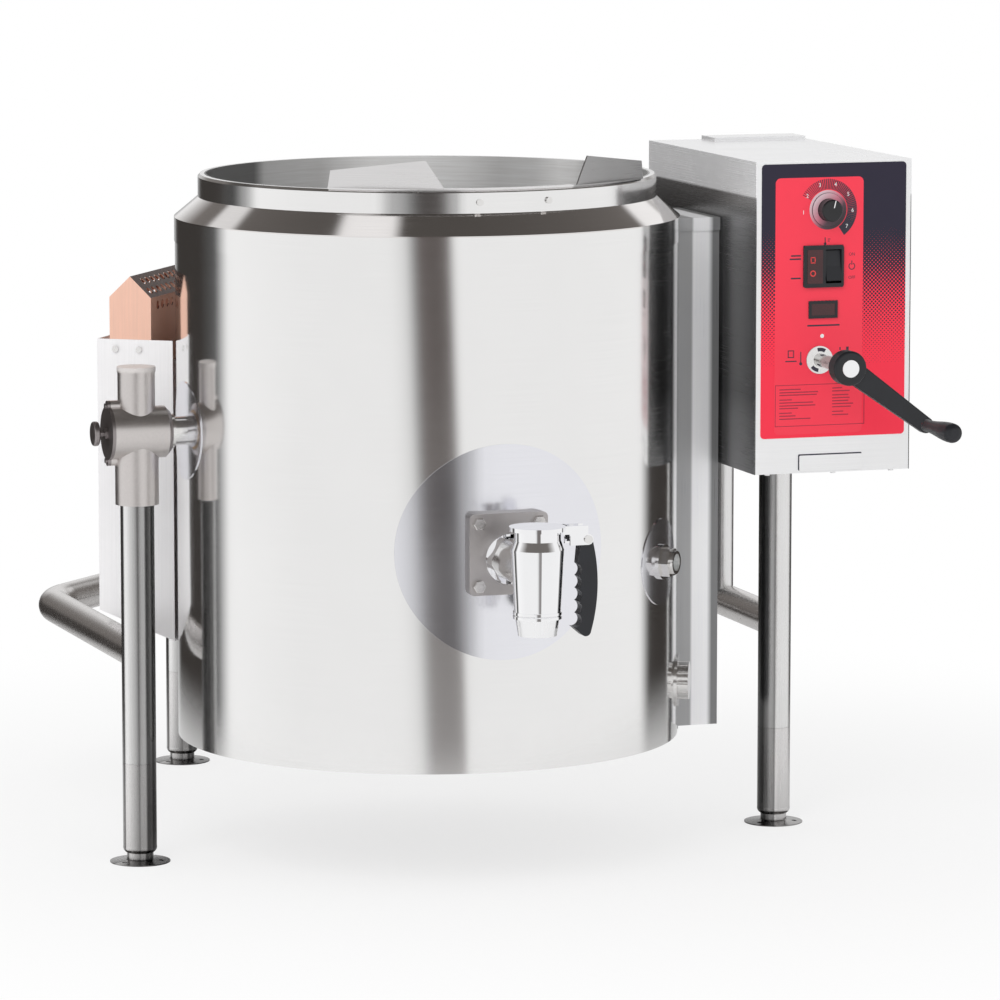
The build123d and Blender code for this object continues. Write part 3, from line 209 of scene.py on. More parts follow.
# Brushed metal. around and widths are tones by bearing and by X that paint reflection and shade into the
# colour, heights are tones by Z, metals is how metallic it is by Z, and roof is the colour of what faces up.
def steel(name, colour, rough, spread=0.05, grain=(4, 4, 900), depth=0.00002, aniso=0.0, wrap=None,
          stain=0.04, strength=0.25, metal=1.0, around=None, heights=None, widths=None, metals=None,
          roof=None):
    material, tree, shader = blank(name)
    shader.inputs["Metallic"].default_value = metal
    if metals:
        tree.links.new(ramp(tree, split(tree, placed(tree))[2], metals), shader.inputs["Metallic"])
    vector = wrapped(tree, *wrap) if wrap else placed(tree, scale=grain)
    lines = noise(tree, vector, 1.0, 4.0, 0.6)
    clouds = noise(tree, placed(tree), 7.0)
    wear = sums(tree, "ADD", sums(tree, "MULTIPLY", lines, 0.6), sums(tree, "MULTIPLY", clouds, 0.4))
    low = tuple(c * (1 - stain) for c in colour)
    high = tuple(min(1, c * (1 + stain)) for c in colour)
    base = ramp(tree, wear, [(0.35, low), (0.65, high)])
    if around:
        centre, stops = around
        offset = placed(tree, shift=(-centre.x, -centre.y, 0))
        base = mixed(tree, 1.0, base, ramp(tree, bearing(tree, offset), degrees(stops)), "MULTIPLY")
    for axis, stops in ((2, heights), (0, widths)):
        if stops:
            tones = ramp(tree, split(tree, placed(tree))[axis], stops)
            base = mixed(tree, 1.0, base, tones, "MULTIPLY")
    if roof:
        slope = split(tree, tree.nodes.new("ShaderNodeNewGeometry").outputs["Normal"])[2]
        base = mixed(tree, ranged(tree, slope, 0.25, 0.35), base, roof)
    tree.links.new(base, shader.inputs["Base Color"])
    sheen = ramp(tree, wear, [(0.3, rough - spread), (0.7, rough + spread)])
    tree.links.new(sheen, shader.inputs["Roughness"])
    if aniso:
        shader.inputs["Anisotropic"].default_value = aniso
        tangent = node(tree, "ShaderNodeTangent", direction_type="RADIAL", axis="Z")
        tree.links.new(tangent.outputs[0], shader.inputs["Tangent"])
    bump(tree, lines, depth, strength, shader)
    return material


def plastic(name, colour, rough, grain=1500, depth=0.00004, strength=0.3, coat=0.0, wear=0.25):
    material, tree, shader = blank(name)
    broad = noise(tree, placed(tree), 25.0, 3.0, 0.6)
    low = tuple(c * (1 - wear) for c in colour)
    high = tuple(min(1, c * (1 + wear)) for c in colour)
    tree.links.new(ramp(tree, broad, [(0.35, low), (0.68, high)]), shader.inputs["Base Color"])
    tree.links.new(ramp(tree, broad, [(0.3, rough - 0.05), (0.7, rough + 0.07)]), shader.inputs["Roughness"])
    shader.inputs["Coat Weight"].default_value = coat
    bump(tree, noise(tree, placed(tree), grain, 2.0, 0.5), depth, strength, shader)
    return material


red = (1.0, 0.040, 0.080)
navy = (0.026, 0.022, 0.042)
halfDiagonal = 0.7071
# The panel's film is dark above, breaks into dots that shrink downwards over red, and ends plain red.
dotted = {"pitch": 0.0042, "bottom": 0.745, "top": 0.965, "smallest": 0.08, "largest": 0.74}


def filmMaterial():
    material, tree, shader = blank("overlayFilm")
    x, _, z = split(tree, placed(tree))
    across, up = sums(tree, "DIVIDE", x, dotted["pitch"]), sums(tree, "DIVIDE", z, dotted["pitch"])
    squares = []
    for value in (sums(tree, "ADD", across, up), sums(tree, "SUBTRACT", across, up)):
        cell = sums(tree, "FRACT", sums(tree, "MULTIPLY", value, halfDiagonal))
        part = sums(tree, "SUBTRACT", cell, 0.5)
        squares.append(sums(tree, "MULTIPLY", part, part))
    distance = sums(tree, "SQRT", sums(tree, "ADD", *squares))
    size = ranged(tree, z, dotted["bottom"], dotted["top"], dotted["smallest"], dotted["largest"])
    dots = sums(tree, "LESS_THAN", distance, size)
    shown = sums(tree, "MULTIPLY", dots, sums(tree, "GREATER_THAN", z, dotted["bottom"]))
    tree.links.new(mixed(tree, shown, red, navy), shader.inputs["Base Color"])
    rough = ramp(tree, noise(tree, placed(tree), 40.0), [(0.3, 0.36), (0.7, 0.46)])
    tree.links.new(rough, shader.inputs["Roughness"])
    shader.inputs["Specular IOR Level"].default_value = 0.25
    bump(tree, noise(tree, placed(tree), 2600.0, 2.0), 0.00001, 0.3, shader)
    return material


def glassMaterial():
    material, tree, shader = blank("gaugeGlass")
    shader.inputs["Base Color"].default_value = (0.85, 0.88, 0.88, 1)
    shader.inputs["Transmission Weight"].default_value = 0.6
    rough = ramp(tree, noise(tree, placed(tree), 60.0), [(0.3, 0.05), (0.7, 0.14)])
    tree.links.new(rough, shader.inputs["Roughness"])
    return material


# The dial's skirt has a painted sheen: a painted highlight at the upper left and painted shade at the lower
# right.
skirtPaintedSheen = {"reach": 0.034, "stops": [(0.0, (0.75, 0.55, 0.60)), (0.45, (0.62, 0.20, 0.27)),
                                        (0.75, (0.10, 0.05, 0.07)), (1.0, (0.05, 0.03, 0.04))]}


def skirtMaterial(centre):
    material, tree, shader = blank("dialSkirt")
    x, _, z = split(tree, placed(tree, shift=(-centre.x, 0, -centre.z)))
    slope = ranged(tree, sums(tree, "SUBTRACT", x, z), -skirtPaintedSheen["reach"], skirtPaintedSheen["reach"])
    tree.links.new(ramp(tree, slope, skirtPaintedSheen["stops"]), shader.inputs["Base Color"])
    shader.inputs["Roughness"].default_value = 0.3
    return material


# A wrap is a wall's radius and middle in metres, then how fine its grain is round it and up it.
wall = (axisX, axisY)
drumWrap = (0.381, wall, 6.0, 1400.0)
bowlWrap = (0.333, wall, 9.0, 300.0)
bright = (0.86, 0.855, 0.85)
flatGrey = (0.88, 0.875, 0.87)
# Painted reflection and shade by bearing in degrees, with the camera's side at 0: the drum's round parts,
# then the upright tubes.
shadeRim = [(-180, 1.0), (-60, 1.0), (-56, 0.5), (-50, 0.5), (-46, 1.0), (-12, 1.0), (-9, 0.58), (-4, 0.50),
            (7, 0.62), (9, 1.0), (180, 1.0)]
shadeBowl = [(-180, 0.9), (-165, 1.0), (-150, 0.62), (-131, 0.55), (-127, 0.13), (-90, 0.12), (90, 0.4),
             (130, 0.45), (136, 0.85), (142, 0.9), (150, 0.66), (160, 0.6), (170, 0.8), (180, 0.9)]
shadePatch = [(-180, 1.0), (-8, 0.95), (-2, 0.85), (2, 0.65), (6, 0.5), (9, 0.6), (12, 0.97), (16, 1.0),
              (180, 1.0)]
leftLeg, rightLeg, post, rearLeg = at(-455, 0, 0), at(565, 0, 0), at(556, 222, 0), at(-178, 799, 0)
shadeRight = [(-180, 0.75), (-90, 0.5), (-66, 0.45), (-61, 0.22), (-56, 0.24), (-51, 1.0), (-38, 0.95),
              (-22, 0.7), (-8, 0.5), (-1, 0.4), (3, 0.26), (7, 0.46), (24, 0.48), (31, 0.10), (40, 0.11),
              (48, 0.18), (57, 0.08), (92, 0.12), (180, 0.75)]
shadeLeft = [(-180, 0.75), (-90, 0.12), (-45, 0.08), (-37, 0.22), (-28, 0.26), (-18, 0.46), (-6, 0.44),
             (-2, 0.32), (3, 1.0), (14, 0.86), (60, 0.88), (84, 0.6), (180, 0.75)]


def footSteel(name, centre, shades):        # a foot's flange is darker than its screw, and its tones by bearing are painted reflection and shade
    return steel(name, (0.84, 0.825, 0.82), 0.27, 0.05, grain=(400, 400, 20), depth=0.00004,
                 around=(centre, shades), heights=[(0.0, 0.45), (0.0052, 0.5), (0.0060, 0.95), (0.15, 1.0)])


skin = {
    "drum": steel("drumSteel", bright, 0.10, 0.02, wrap=drumWrap, aniso=0.7, stain=0.02, depth=0.00001),
    "band": steel("bandSteel", bright, 0.10, 0.02, wrap=drumWrap, aniso=0.6, stain=0.02, depth=0.00001),
    # The rim, the bowl and the patches carry painted reflection and shade by bearing.
    "rim": steel("rimSteel", bright, 0.14, 0.03, wrap=drumWrap, aniso=0.7, stain=0.03, depth=0.00001,
                 around=(at(0, 0, 0), shadeRim)),
    "shoulder": steel("shoulderSteel", (0.80, 0.775, 0.765), 0.09, 0.02, wrap=drumWrap, stain=0.05),
    "bowl": steel("bowlSteel", (0.97, 0.955, 0.94), 0.42, 0.06, wrap=bowlWrap, stain=0.16, depth=0.00003,
                  metal=0.20, around=(at(0, 0, 0), shadeBowl)),
    "patch": steel("patchSteel", (0.83, 0.83, 0.87), 0.14, 0.03, wrap=drumWrap, aniso=0.5, stain=0.03,
                   around=(at(0, 0, 0), shadePatch)),
    "plate": steel("plateSteel", (0.50, 0.475, 0.47), 0.34, 0.06, grain=(60, 60, 60), depth=0.00006),
    "bolt": steel("boltSteel", (0.72, 0.70, 0.69), 0.24, 0.05, grain=(220, 220, 220), depth=0.00003),
    "bright": steel("turnedSteel", (0.80, 0.79, 0.78), 0.18, 0.05, grain=(220, 220, 220), depth=0.00003),
    # The tubes and the post carry painted reflection and shade by bearing round each tube.
    "legLeft": steel("leftTube", flatGrey, 0.26, 0.05, grain=(500, 500, 6), depth=0.00004, aniso=0.3,
                     around=(leftLeg, shadeRight)),
    "legRight": steel("rightTube", flatGrey, 0.26, 0.05, grain=(500, 500, 6), depth=0.00004, aniso=0.3,
                      around=(rightLeg, shadeLeft)),
    "legRear": steel("rearTube", flatGrey, 0.26, 0.05, grain=(500, 500, 6), depth=0.00004, aniso=0.3,
                     around=(rearLeg, shadeRight)),
    "postTube": steel("postTube", flatGrey, 0.28, 0.05, grain=(500, 500, 6), depth=0.00004, aniso=0.3,
                      around=(post, shadeLeft)),
    "rail": steel("railTube", (0.66, 0.64, 0.63), 0.26, 0.05, grain=(120, 120, 300), depth=0.00004),
    "cast": steel("castSteel", (0.66, 0.625, 0.61), 0.34, 0.07, grain=(260, 260, 260), depth=0.0001,
                  strength=0.5, metals=[(0.0, 1.0), (0.7425, 1.0), (0.7435, 0.0)]),
    "capCast": steel("coverSteel", (0.34, 0.31, 0.31), 0.36, 0.07, grain=(260, 260, 260), depth=0.0001),
    # The console's side carries painted reflection and shade by height: dark low down, bright near its top
    # edge.
    "shell": steel("consoleSide", (0.90, 0.90, 0.91), 0.26, 0.04, grain=(5, 5, 1100), depth=0.00002,
                   heights=[(0.0, 0.4), (0.60, 0.20), (0.66, 0.17), (0.70, 0.08), (0.74, 0.10), (0.86, 0.12),
                            (0.92, 0.13), (0.95, 0.20), (0.98, 0.34), (1.01, 0.5), (1.046, 0.95),
                            (1.0495, 1.0)],
                   metals=[(0.0, 0.85), (1.0485, 0.85), (1.0497, 0.3)]),
    "sheet": steel("consoleSteel", (0.90, 0.90, 0.905), 0.40, 0.05, grain=(5, 5, 1100), depth=0.00002,
                   metal=0.55),
    # The channel carries painted shade by X on both sides of a lit strip.
    "channel": steel("channelSteel", (0.97, 0.97, 1.0), 0.30, 0.04, grain=(700, 700, 5), depth=0.00003,
                     metal=0.15, widths=[(0.3, 0.42), (0.3105, 0.42), (0.3125, 1.0), (0.3385, 1.0),
                                         (0.3415, 0.22)]),
    # The pour lip carries painted reflection and shade by X: its right part is darker than its lit left edge.
    "wing": steel("wingSteel", (0.80, 0.79, 0.79), 0.30, 0.05, grain=(8, 8, 900), depth=0.00002,
                  widths=[(0.0, 1.0), (0.04, 1.0), (0.0405, 0.5), (0.2, 0.42)]),
    "flue": steel("flueSteel", (0.95, 0.94, 0.95), 0.42, 0.05, grain=(600, 600, 6), depth=0.00003,
                  metal=0.25),
    "chrome": steel("mirrorChrome", (0.92, 0.92, 0.93), 0.03, 0.012, grain=(30, 30, 30), depth=0.000004,
                    stain=0.01),
    "footLeft": footSteel("leftFoot", leftLeg, shadeRight),
    "footRight": footSteel("rightFoot", rightLeg, shadeLeft),
    "footRear": footSteel("rearFoot", rearLeg, shadeRight),
    "copper": steel("tintedSheet", (0.95, 0.60, 0.47), 0.44, 0.06, grain=(300, 300, 8), depth=0.00003,
                    stain=0.05, metal=0.6, roof=(0.10, 0.060, 0.050)),
    "brass": steel("plugBrass", (0.78, 0.62, 0.34), 0.25, 0.05, grain=(200, 200, 200)),
    "bronze": steel("bushBronze", (0.60, 0.42, 0.24), 0.40, 0.05, grain=(300, 300, 300)),
    "iron": steel("castIron", (0.20, 0.19, 0.18), 0.50, 0.08, grain=(260, 260, 260), depth=0.0001,
                  strength=0.6),
    "weld": steel("weldBead", (0.50, 0.46, 0.42), 0.34, 0.08, grain=(900, 900, 900), depth=0.0001,
                  strength=0.6),
    "black": plastic("blackPlastic", (0.010, 0.011, 0.015), 0.42),
    "knob": plastic("knobPlastic", (0.010, 0.010, 0.012), 0.34, grain=2200),
    "paint": plastic("framePaint", (0.11, 0.11, 0.115), 0.5, grain=400, depth=0.00008),
    "blanket": plastic("glassBlanket", (0.72, 0.68, 0.55), 0.95, grain=350, depth=0.0008, strength=0.8),
    "redFilm": plastic("redFilm", red, 0.42, grain=2600, depth=0.00001, wear=0.02),
    "white": plastic("whiteInk", (0.90, 0.90, 0.90), 0.4, grain=2600, depth=0.00001, wear=0.03),
    "ink": plastic("blackInk", navy, 0.4, grain=2600, depth=0.00001, wear=0.05),
    "faint": plastic("faintInk", (0.34, 0.02, 0.05), 0.45, grain=2600, depth=0.00001, wear=0.05),
    "mark": plastic("redInk", (0.75, 0.05, 0.05), 0.4, grain=2600, depth=0.00001, wear=0.05),
    "lens": plastic("redLens", (0.05, 0.003, 0.006), 0.2, grain=700, depth=0.00005, coat=0.3),
    "film": filmMaterial(), "glass": glassMaterial(),
}

wears = {
    "drum": ["outer_shroud"], "band": ["shroud_band"], "rim": ["rim_band"], "shoulder": ["shoulder_ring"],
    "bowl": ["inner_bowl"], "patch": ["drawoff_patch", "side_patches"],
    "plate": ["drawoff_plate", "base_pan", "jacket_shell"], "bolt": ["drawoff_bolts"],
    "bright": ["sheet_screws", "trunnion_left", "trunnion_right", "worm_shaft", "crank_pin", "crank_ring",
               "valve_pin", "drain_fitting", "sight_fitting", "drawoff_tube"],
    "legLeft": ["left_leg"], "legRight": ["right_leg"], "legRear": ["rear_leg"], "postTube": ["console_post"],
    "rail": ["left_rail", "right_rail"], "cast": ["tee_housing"], "capCast": ["housing_cap"],
    "shell": ["console_shell"], "sheet": ["console_front", "console_back"],
    "channel": ["channel_cover", "channel_cap"], "wing": ["pour_lip"], "flue": ["flue_box"],
    "chrome": ["drawoff_nut", "valve_body", "valve_cap", "crank_cap"],
    "footLeft": ["foot_left"], "footRight": ["foot_right"], "footRear": ["foot_rear"],
    "copper": ["flue_hood"], "brass": ["valve_plug"],
    "bronze": ["bushes"], "iron": ["sector_gear", "burner_ring"], "paint": ["drive_frame"],
    "blanket": ["insulation_liner"], "knob": ["temp_knob"], "lens": ["lens_inserts"], "glass": ["sight_lens"],
    "black": ["valve_handle", "crank_arm", "crank_grip", "switch_block", "signal_lamp", "power_rocker"],
    "film": ["control_overlay"],
}
for skinName, wearers in wears.items():
    for name in wearers:
        for slotPart in nodes[name].material_slots:
            slotPart.material = skin[skinName]
dressed = [name for wearers in wears.values() for name in wearers]
print("materials on the CAD nodes, left over:", sorted(set(nodes) - set(dressed)))


# The control panel's print. Places on it are X and Z from the kettle's axis, faces are Y from it, all in
# millimetres.
filmFace = -240.8
printFace = filmFace - 0.25
inkDepth = 0.1
panel = {"left": 471.0, "right": 612.0, "top": 1027.0, "bottom": 640.0, "corner": 8.0, "thick": 0.25}
dial = {"x": 555.0, "z": 978.0, "skirt": 25.7}
switch = {"x": 548.0, "z": 893.0, "face": -244.8}
lamp = {"x": 548.0, "z": 828.0}


def flatShape(points, depth, face=printFace):
    mesh = bpy.data.meshes.new("flat")
    shape = bmesh.new()
    face3 = shape.faces.new([shape.verts.new(at(x, face, z)) for x, z in points])
    grown = bmesh.ops.extrude_face_region(shape, geom=[face3])["geom"]
    moved = [part for part in grown if isinstance(part, bmesh.types.BMVert)]
    bmesh.ops.translate(shape, verts=moved, vec=(0, -depth / 1000, 0))
    bmesh.ops.recalc_face_normals(shape, faces=shape.faces)
    shape.to_mesh(mesh)
    shape.free()
    piece = bpy.data.objects.new("flat", mesh)
    bpy.context.scene.collection.objects.link(piece)
    return piece


def roundedBox(x0, x1, z0, z1, corner, steps=6):
    points = []
    for cx, cz, start in ((x1 - corner, z1 - corner, 0), (x0 + corner, z1 - corner, 90),
                          (x0 + corner, z0 + corner, 180), (x1 - corner, z0 + corner, 270)):
        for step in range(steps + 1):
            angle = math.radians(start + 90 * step / steps)
            points.append((cx + corner * math.cos(angle), cz + corner * math.sin(angle)))
    return points


def bar(x0, x1, z, height, face=printFace):
    corners = [(x0, z - height / 2), (x1, z - height / 2), (x1, z + height / 2), (x0, z + height / 2)]
    return flatShape(corners, inkDepth, face)


def disc(x, z, radius):
    sides = 28
    turns = [2 * math.pi * step / sides for step in range(sides)]
    return flatShape([(x + radius * math.cos(t), z + radius * math.sin(t)) for t in turns], inkDepth)


def arcs(x, z, inner, outer, start, end, face=printFace, count=14):
    pieces = []
    for step in range(count):
        low = math.radians(start + (end - start) * step / count)
        high = math.radians(start + (end - start) * (step + 1) / count)
        points = [(x + r * math.cos(t), z + r * math.sin(t))
                  for r, t in ((inner, low), (outer, low), (outer, high), (inner, high))]
        pieces.append(flatShape(points, inkDepth, face))
    return pieces


def outline(x0, x1, z0, z1, width, face=printFace):
    middle = (z0 + z1) / 2
    return [bar(x0, x1, z0, width, face), bar(x0, x1, z1, width, face),
            bar(x0, x0 + width, middle, z1 - z0, face), bar(x1 - width, x1, middle, z1 - z0, face)]


lettering = {"ahead": 0.05, "halfDepth": 0.05, "curve": 3}


def writing(words, x, z, size, face=printFace):
    bpy.ops.object.text_add(location=at(x, face - lettering["ahead"], z), rotation=(math.radians(90), 0, 0))
    piece = bpy.context.object
    piece.data.body = words
    piece.data.size = size / 1000
    piece.data.align_x, piece.data.align_y = "CENTER", "CENTER"
    piece.data.extrude = lettering["halfDepth"] / 1000
    piece.data.resolution_u = lettering["curve"]
    return settle(piece)


cutMargin, cutDepth = 0.0004, 0.1        # metres


def opened(piece, name):        # cuts a piece clear of the place where a CAD node stands
    low, high = (Vector(corner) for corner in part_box(name))
    bpy.ops.mesh.primitive_cube_add(size=1, location=(low + high) / 2)
    cutter = bpy.context.object
    cutter.scale = (high.x - low.x + 2 * cutMargin, cutDepth, high.z - low.z + 2 * cutMargin)
    settle(cutter)
    take(piece)
    cut = piece.modifiers.new("opening", "BOOLEAN")
    cut.operation, cut.object, cut.solver = "DIFFERENCE", cutter, "EXACT"
    bpy.ops.object.modifier_apply(modifier=cut.name)
    bpy.data.objects.remove(cutter)


def printPanel():
    redPanel = flatShape(roundedBox(panel["left"], panel["right"], panel["bottom"], panel["top"],
                                    panel["corner"]), panel["thick"], filmFace)
    for name in ("switch_block", "signal_lamp"):
        opened(redPanel, name)
    finishPiece(redPanel, "red_panel", "redFilm", "stand")


# Ticks that grow wider towards the end, from the first angle to the last in degrees.
ticks = {"inner": 31.0, "outer": 46.5, "count": 52, "start": 150.0, "end": -54.0, "half": 0.75, "wider": 1.4,
         "thick": 0.08}
numerals = {"count": 7, "radius": 39.5, "start": 185, "end": -40, "size": 8.5, "ahead": 0.12}


def printDial():
    marks = []
    for step in range(ticks["count"]):
        part = step / (ticks["count"] - 1)
        angle = math.radians(ticks["start"] + (ticks["end"] - ticks["start"]) * part)
        half = math.radians(ticks["half"] + ticks["wider"] * part)
        points = []
        for reach, side in (("inner", -1), ("outer", -1), ("outer", 1), ("inner", 1)):
            turn = angle + side * half
            points.append((dial["x"] + ticks[reach] * math.cos(turn),
                           dial["z"] + ticks[reach] * math.sin(turn)))
        marks.append(flatShape(points, ticks["thick"]))
    finishPiece(joined(marks), "dial_scale", "ink", "stand")
    numbers = []
    sweep = numerals["start"] - numerals["end"]
    for index in range(numerals["count"]):
        angle = math.radians(numerals["start"] - sweep * index / (numerals["count"] - 1))
        x = dial["x"] + numerals["radius"] * math.cos(angle)
        z = dial["z"] + numerals["radius"] * math.sin(angle)
        numbers.append(writing(str(index + 1), x, z, numerals["size"], printFace - numerals["ahead"]))
    finishPiece(joined(numbers), "dial_numbers", "white", "stand")


# Plain marks. A bar is x0, x1, z and height, a dot is x, z and radius, words are the text, x, z and size.
# Those by the dial, the switches and the lamp count from its middle, those by the crank from the axis.
symbols = {
    "dialBars": [(-5, -3.5, -46, 9), (0, 4, -44, 1.2), (0, 3, -47, 1.2)], "dialDot": (-4.25, -51, 2.2),
    "switchRing": {"x": 46, "z": -1, "inner": 4.0, "outer": 5.4, "start": 115, "end": 425},
    "switchBars": [(45.3, 46.7, 4.4, 6), (-52, -36, 17, 2.2), (-54, -36, 12, 2.2), (-52, -36, -17, 2.2)],
    "switchWords": [("ON", 46, 17, 6.5), ("OFF", 46, -18, 6.5)],
    "lampBar": (-25, 27, -24, 2.4),
    "crankBox": (492, 502, 757, 767, 1.4), "crankDot": (512.8, 747, 2.4), "whiteDot": (547, 788, 3.0),
    "crankBars": [(488, 506, 751, 1.6), (512, 513.6, 757, 16), (575, 577, 768, 4), (586, 590, 768, 5)],
}


def barBy(place, size):
    x0, x1, z, height = size
    return bar(place["x"] + x0, place["x"] + x1, place["z"] + z, height)


def printSymbols():
    dotX, dotZ, dotRadius = symbols["dialDot"]
    dark = [barBy(dial, size) for size in symbols["dialBars"]]
    dark.append(disc(dial["x"] + dotX, dial["z"] + dotZ, dotRadius))
    ring = symbols["switchRing"]
    dark += arcs(switch["x"] + ring["x"], switch["z"] + ring["z"], ring["inner"], ring["outer"],
                 ring["start"], ring["end"])
    dark += [barBy(switch, size) for size in symbols["switchBars"]]
    for words, x, z, size in symbols["switchWords"]:
        dark.append(writing(words, switch["x"] + x, switch["z"] + z, size))
    dark.append(barBy(lamp, symbols["lampBar"]))
    dark += outline(*symbols["crankBox"]) + [bar(*size) for size in symbols["crankBars"]]
    dark.append(disc(*symbols["crankDot"]))
    finishPiece(joined(dark), "panel_marks", "ink", "stand")
    finishPiece(disc(*symbols["whiteDot"]), "panel_dot", "white", "stand")


# The framed block under the crank. Its columns are bars, each by its drop from the top and its length.
notes = {
    "left": 472.0, "right": 616.0, "top": 715.0, "bottom": 653.0, "frame": 0.9, "bar": 1.5,
    "columns": [
        (7, [(6.5, 34), (11, 62), (15, 60), (22, 20), (26.5, 54), (31, 58), (35, 30), (42, 20), (46.5, 26),
             (51, 50)]),
        (92, [(6.5, 16), (11, 28), (17, 26), (21.5, 28), (26, 26), (30.5, 34), (35, 30), (42, 18), (47, 26)]),
    ],
}


def printNotes():
    lines = outline(notes["left"], notes["right"], notes["bottom"], notes["top"], notes["frame"])
    for indent, column in notes["columns"]:
        start = notes["left"] + indent
        for drop, length in column:
            lines.append(bar(start, start + length, notes["top"] - drop, notes["bar"]))
    finishPiece(joined(lines), "panel_notes", "faint", "stand")


# A square and a ring on the switches' block, from its middle.
switchPrint = {"ahead": 0.55, "square": (-22, -14, 6, 14), "line": 1.5, "ring": (-18, -10, 3.0, 4.8)}


def markSwitches():
    face = switch["face"] - switchPrint["ahead"]
    x, z = switch["x"], switch["z"]
    x0, x1, z0, z1 = switchPrint["square"]
    ringX, ringZ, inner, outer = switchPrint["ring"]
    marks = outline(x + x0, x + x1, z + z0, z + z1, switchPrint["line"], face)
    marks += arcs(x + ringX, z + ringZ, inner, outer, 0, 360, face)
    finishPiece(joined(marks), "switch_marks", "mark", "stand")


# The bare plate under the panel, on a dark sheet that shows at its left and top as a painted shadow. A box is
# x0, x1, z0, z1 and corner.
ratingPlate = {"shadowBox": (510, 612.6, 585, 609.6, 2.0), "shadowFace": -240.0,
               "box": (511.8, 614, 584, 607.6, 2.0), "face": -240.5, "thick": 0.5}


def platePlain():
    # A dark sheet behind the plate, a painted shadow at its left and top.
    shadowSheet = flatShape(roundedBox(*ratingPlate["shadowBox"]), ratingPlate["thick"], ratingPlate["shadowFace"])
    finishPiece(shadowSheet, "plate_painted_shadow", "ink", "stand")
    plate = flatShape(roundedBox(*ratingPlate["box"]), ratingPlate["thick"], ratingPlate["face"])
    finishPiece(plate, "bare_plate", "sheet", "stand")


# The two dark openings in the collar round the crank's shaft, by their first and last angle.
collar = {"x": 543, "z": 752, "inner": 13.0, "outer": 18.5, "slots": [(58, 104), (218, 262)]}


def collarSlots():
    face = 1000 * (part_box("crank_ring")[0][1] - axisY)
    slots = []
    for start, end in collar["slots"]:
        slots += arcs(collar["x"], collar["z"], collar["inner"], collar["outer"], start, end, face)
    finishPiece(joined(slots), "collar_slots", "ink", "stand")


# The painted sheen on the dial's skirt and the pointer on its knob turn with it. The halo on the film, with
# the same painted sheen, stays.
trim = {"filmInner": 17.2, "filmGap": 0.3, "filmAhead": 2.45, "haloLap": 1, "haloOuter": 29.8,
        "haloAhead": 0.05, "steps": 40, "pointer": [(1.5, 4), (3, 4), (5.6, 15), (4.2, 15)],
        "pointerThick": 0.15, "pointerAhead": 20.45}


def dialTrim():
    x, z = dial["x"], dial["z"]
    skin["skirt"] = skirtMaterial(at(x, 0, z))
    ring = arcs(x, z, trim["filmInner"], dial["skirt"] - trim["filmGap"], 0, 360,
                filmFace - trim["filmAhead"], trim["steps"])
    finishPiece(joined(ring), "dial_skirt_film", "skirt", "dial")
    halo = arcs(x, z, dial["skirt"] - trim["haloLap"], trim["haloOuter"], 0, 360,
                printFace - trim["haloAhead"], trim["steps"])
    finishPiece(joined(halo), "dial_halo", "skirt", "stand")
    pointer = flatShape([(x + right, z + up) for right, up in trim["pointer"]], trim["pointerThick"],
                        filmFace - trim["pointerAhead"])
    finishPiece(pointer, "dial_pointer", "white", "dial")


printPanel()
printDial()
printSymbols()
printNotes()
markSwitches()
platePlain()
collarSlots()
dialTrim()
print("panel printed")


# Weld beads round the tops of the two front legs, in metres.
bead = {"radius": 0.0256, "thick": 0.0015, "around": 56, "section": 8}


def beadRing(centre, height):
    bpy.ops.mesh.primitive_torus_add(location=(centre.x, centre.y, height), major_radius=bead["radius"],
                                     minor_radius=bead["thick"], major_segments=bead["around"],
                                     minor_segments=bead["section"])
    return settle(bpy.context.object)


def weldBeads():
    tops = [("left_leg", leftLeg), ("right_leg", rightLeg)]
    beads = [beadRing(centre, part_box(name)[1][2]) for name, centre in tops]
    finishPiece(joined(beads), "weld_beads", "weld", "stand")


weldBeads()
print("welds made")


# The studio: a white room with two long soft boxes and a dark gap between them. Its floor glows by itself for
# the camera and fades out of reflections, more so the further from the kettle, by distance in metres.
floorLook = {"size": 24, "ease": (0.7, 1.9), "white": 0.88, "glow": 0.72}


def floorMaterial():
    material = bpy.data.materials.new("studioFloor")
    material.use_nodes = True
    tree = material.node_tree
    tree.nodes.clear()
    place = tree.nodes.new("ShaderNodeTexCoord").outputs["Object"]
    away = node(tree, "ShaderNodeVectorMath", operation="LENGTH")
    tree.links.new(place, away.inputs[0])
    ease = ranged(tree, away.outputs["Value"], *floorLook["ease"], smooth=True)
    soft = node(tree, "ShaderNodeBsdfDiffuse", in_0=colourOf(floorLook["white"]))
    lit = node(tree, "ShaderNodeEmission", in_0=(1, 1, 1, 1), in_1=1.0)
    clear = tree.nodes.new("ShaderNodeBsdfTransparent")
    path = tree.nodes.new("ShaderNodeLightPath")
    near = floorLook["glow"]
    base = sums(tree, "ADD", sums(tree, "MULTIPLY", ease, 1 - near), near)
    seen = node(tree, "ShaderNodeMixShader")
    tree.links.new(sums(tree, "MULTIPLY", base, path.outputs["Is Camera Ray"]), seen.inputs[0])
    tree.links.new(soft.outputs[0], seen.inputs[1])
    tree.links.new(lit.outputs[0], seen.inputs[2])
    faded = node(tree, "ShaderNodeMixShader")
    tree.links.new(sums(tree, "MULTIPLY", ease, path.outputs["Is Glossy Ray"]), faded.inputs[0])
    tree.links.new(seen.outputs[0], faded.inputs[1])
    tree.links.new(clear.outputs[0], faded.inputs[2])
    out = tree.nodes.new("ShaderNodeOutputMaterial")
    tree.links.new(faded.outputs[0], out.inputs[0])
    return material


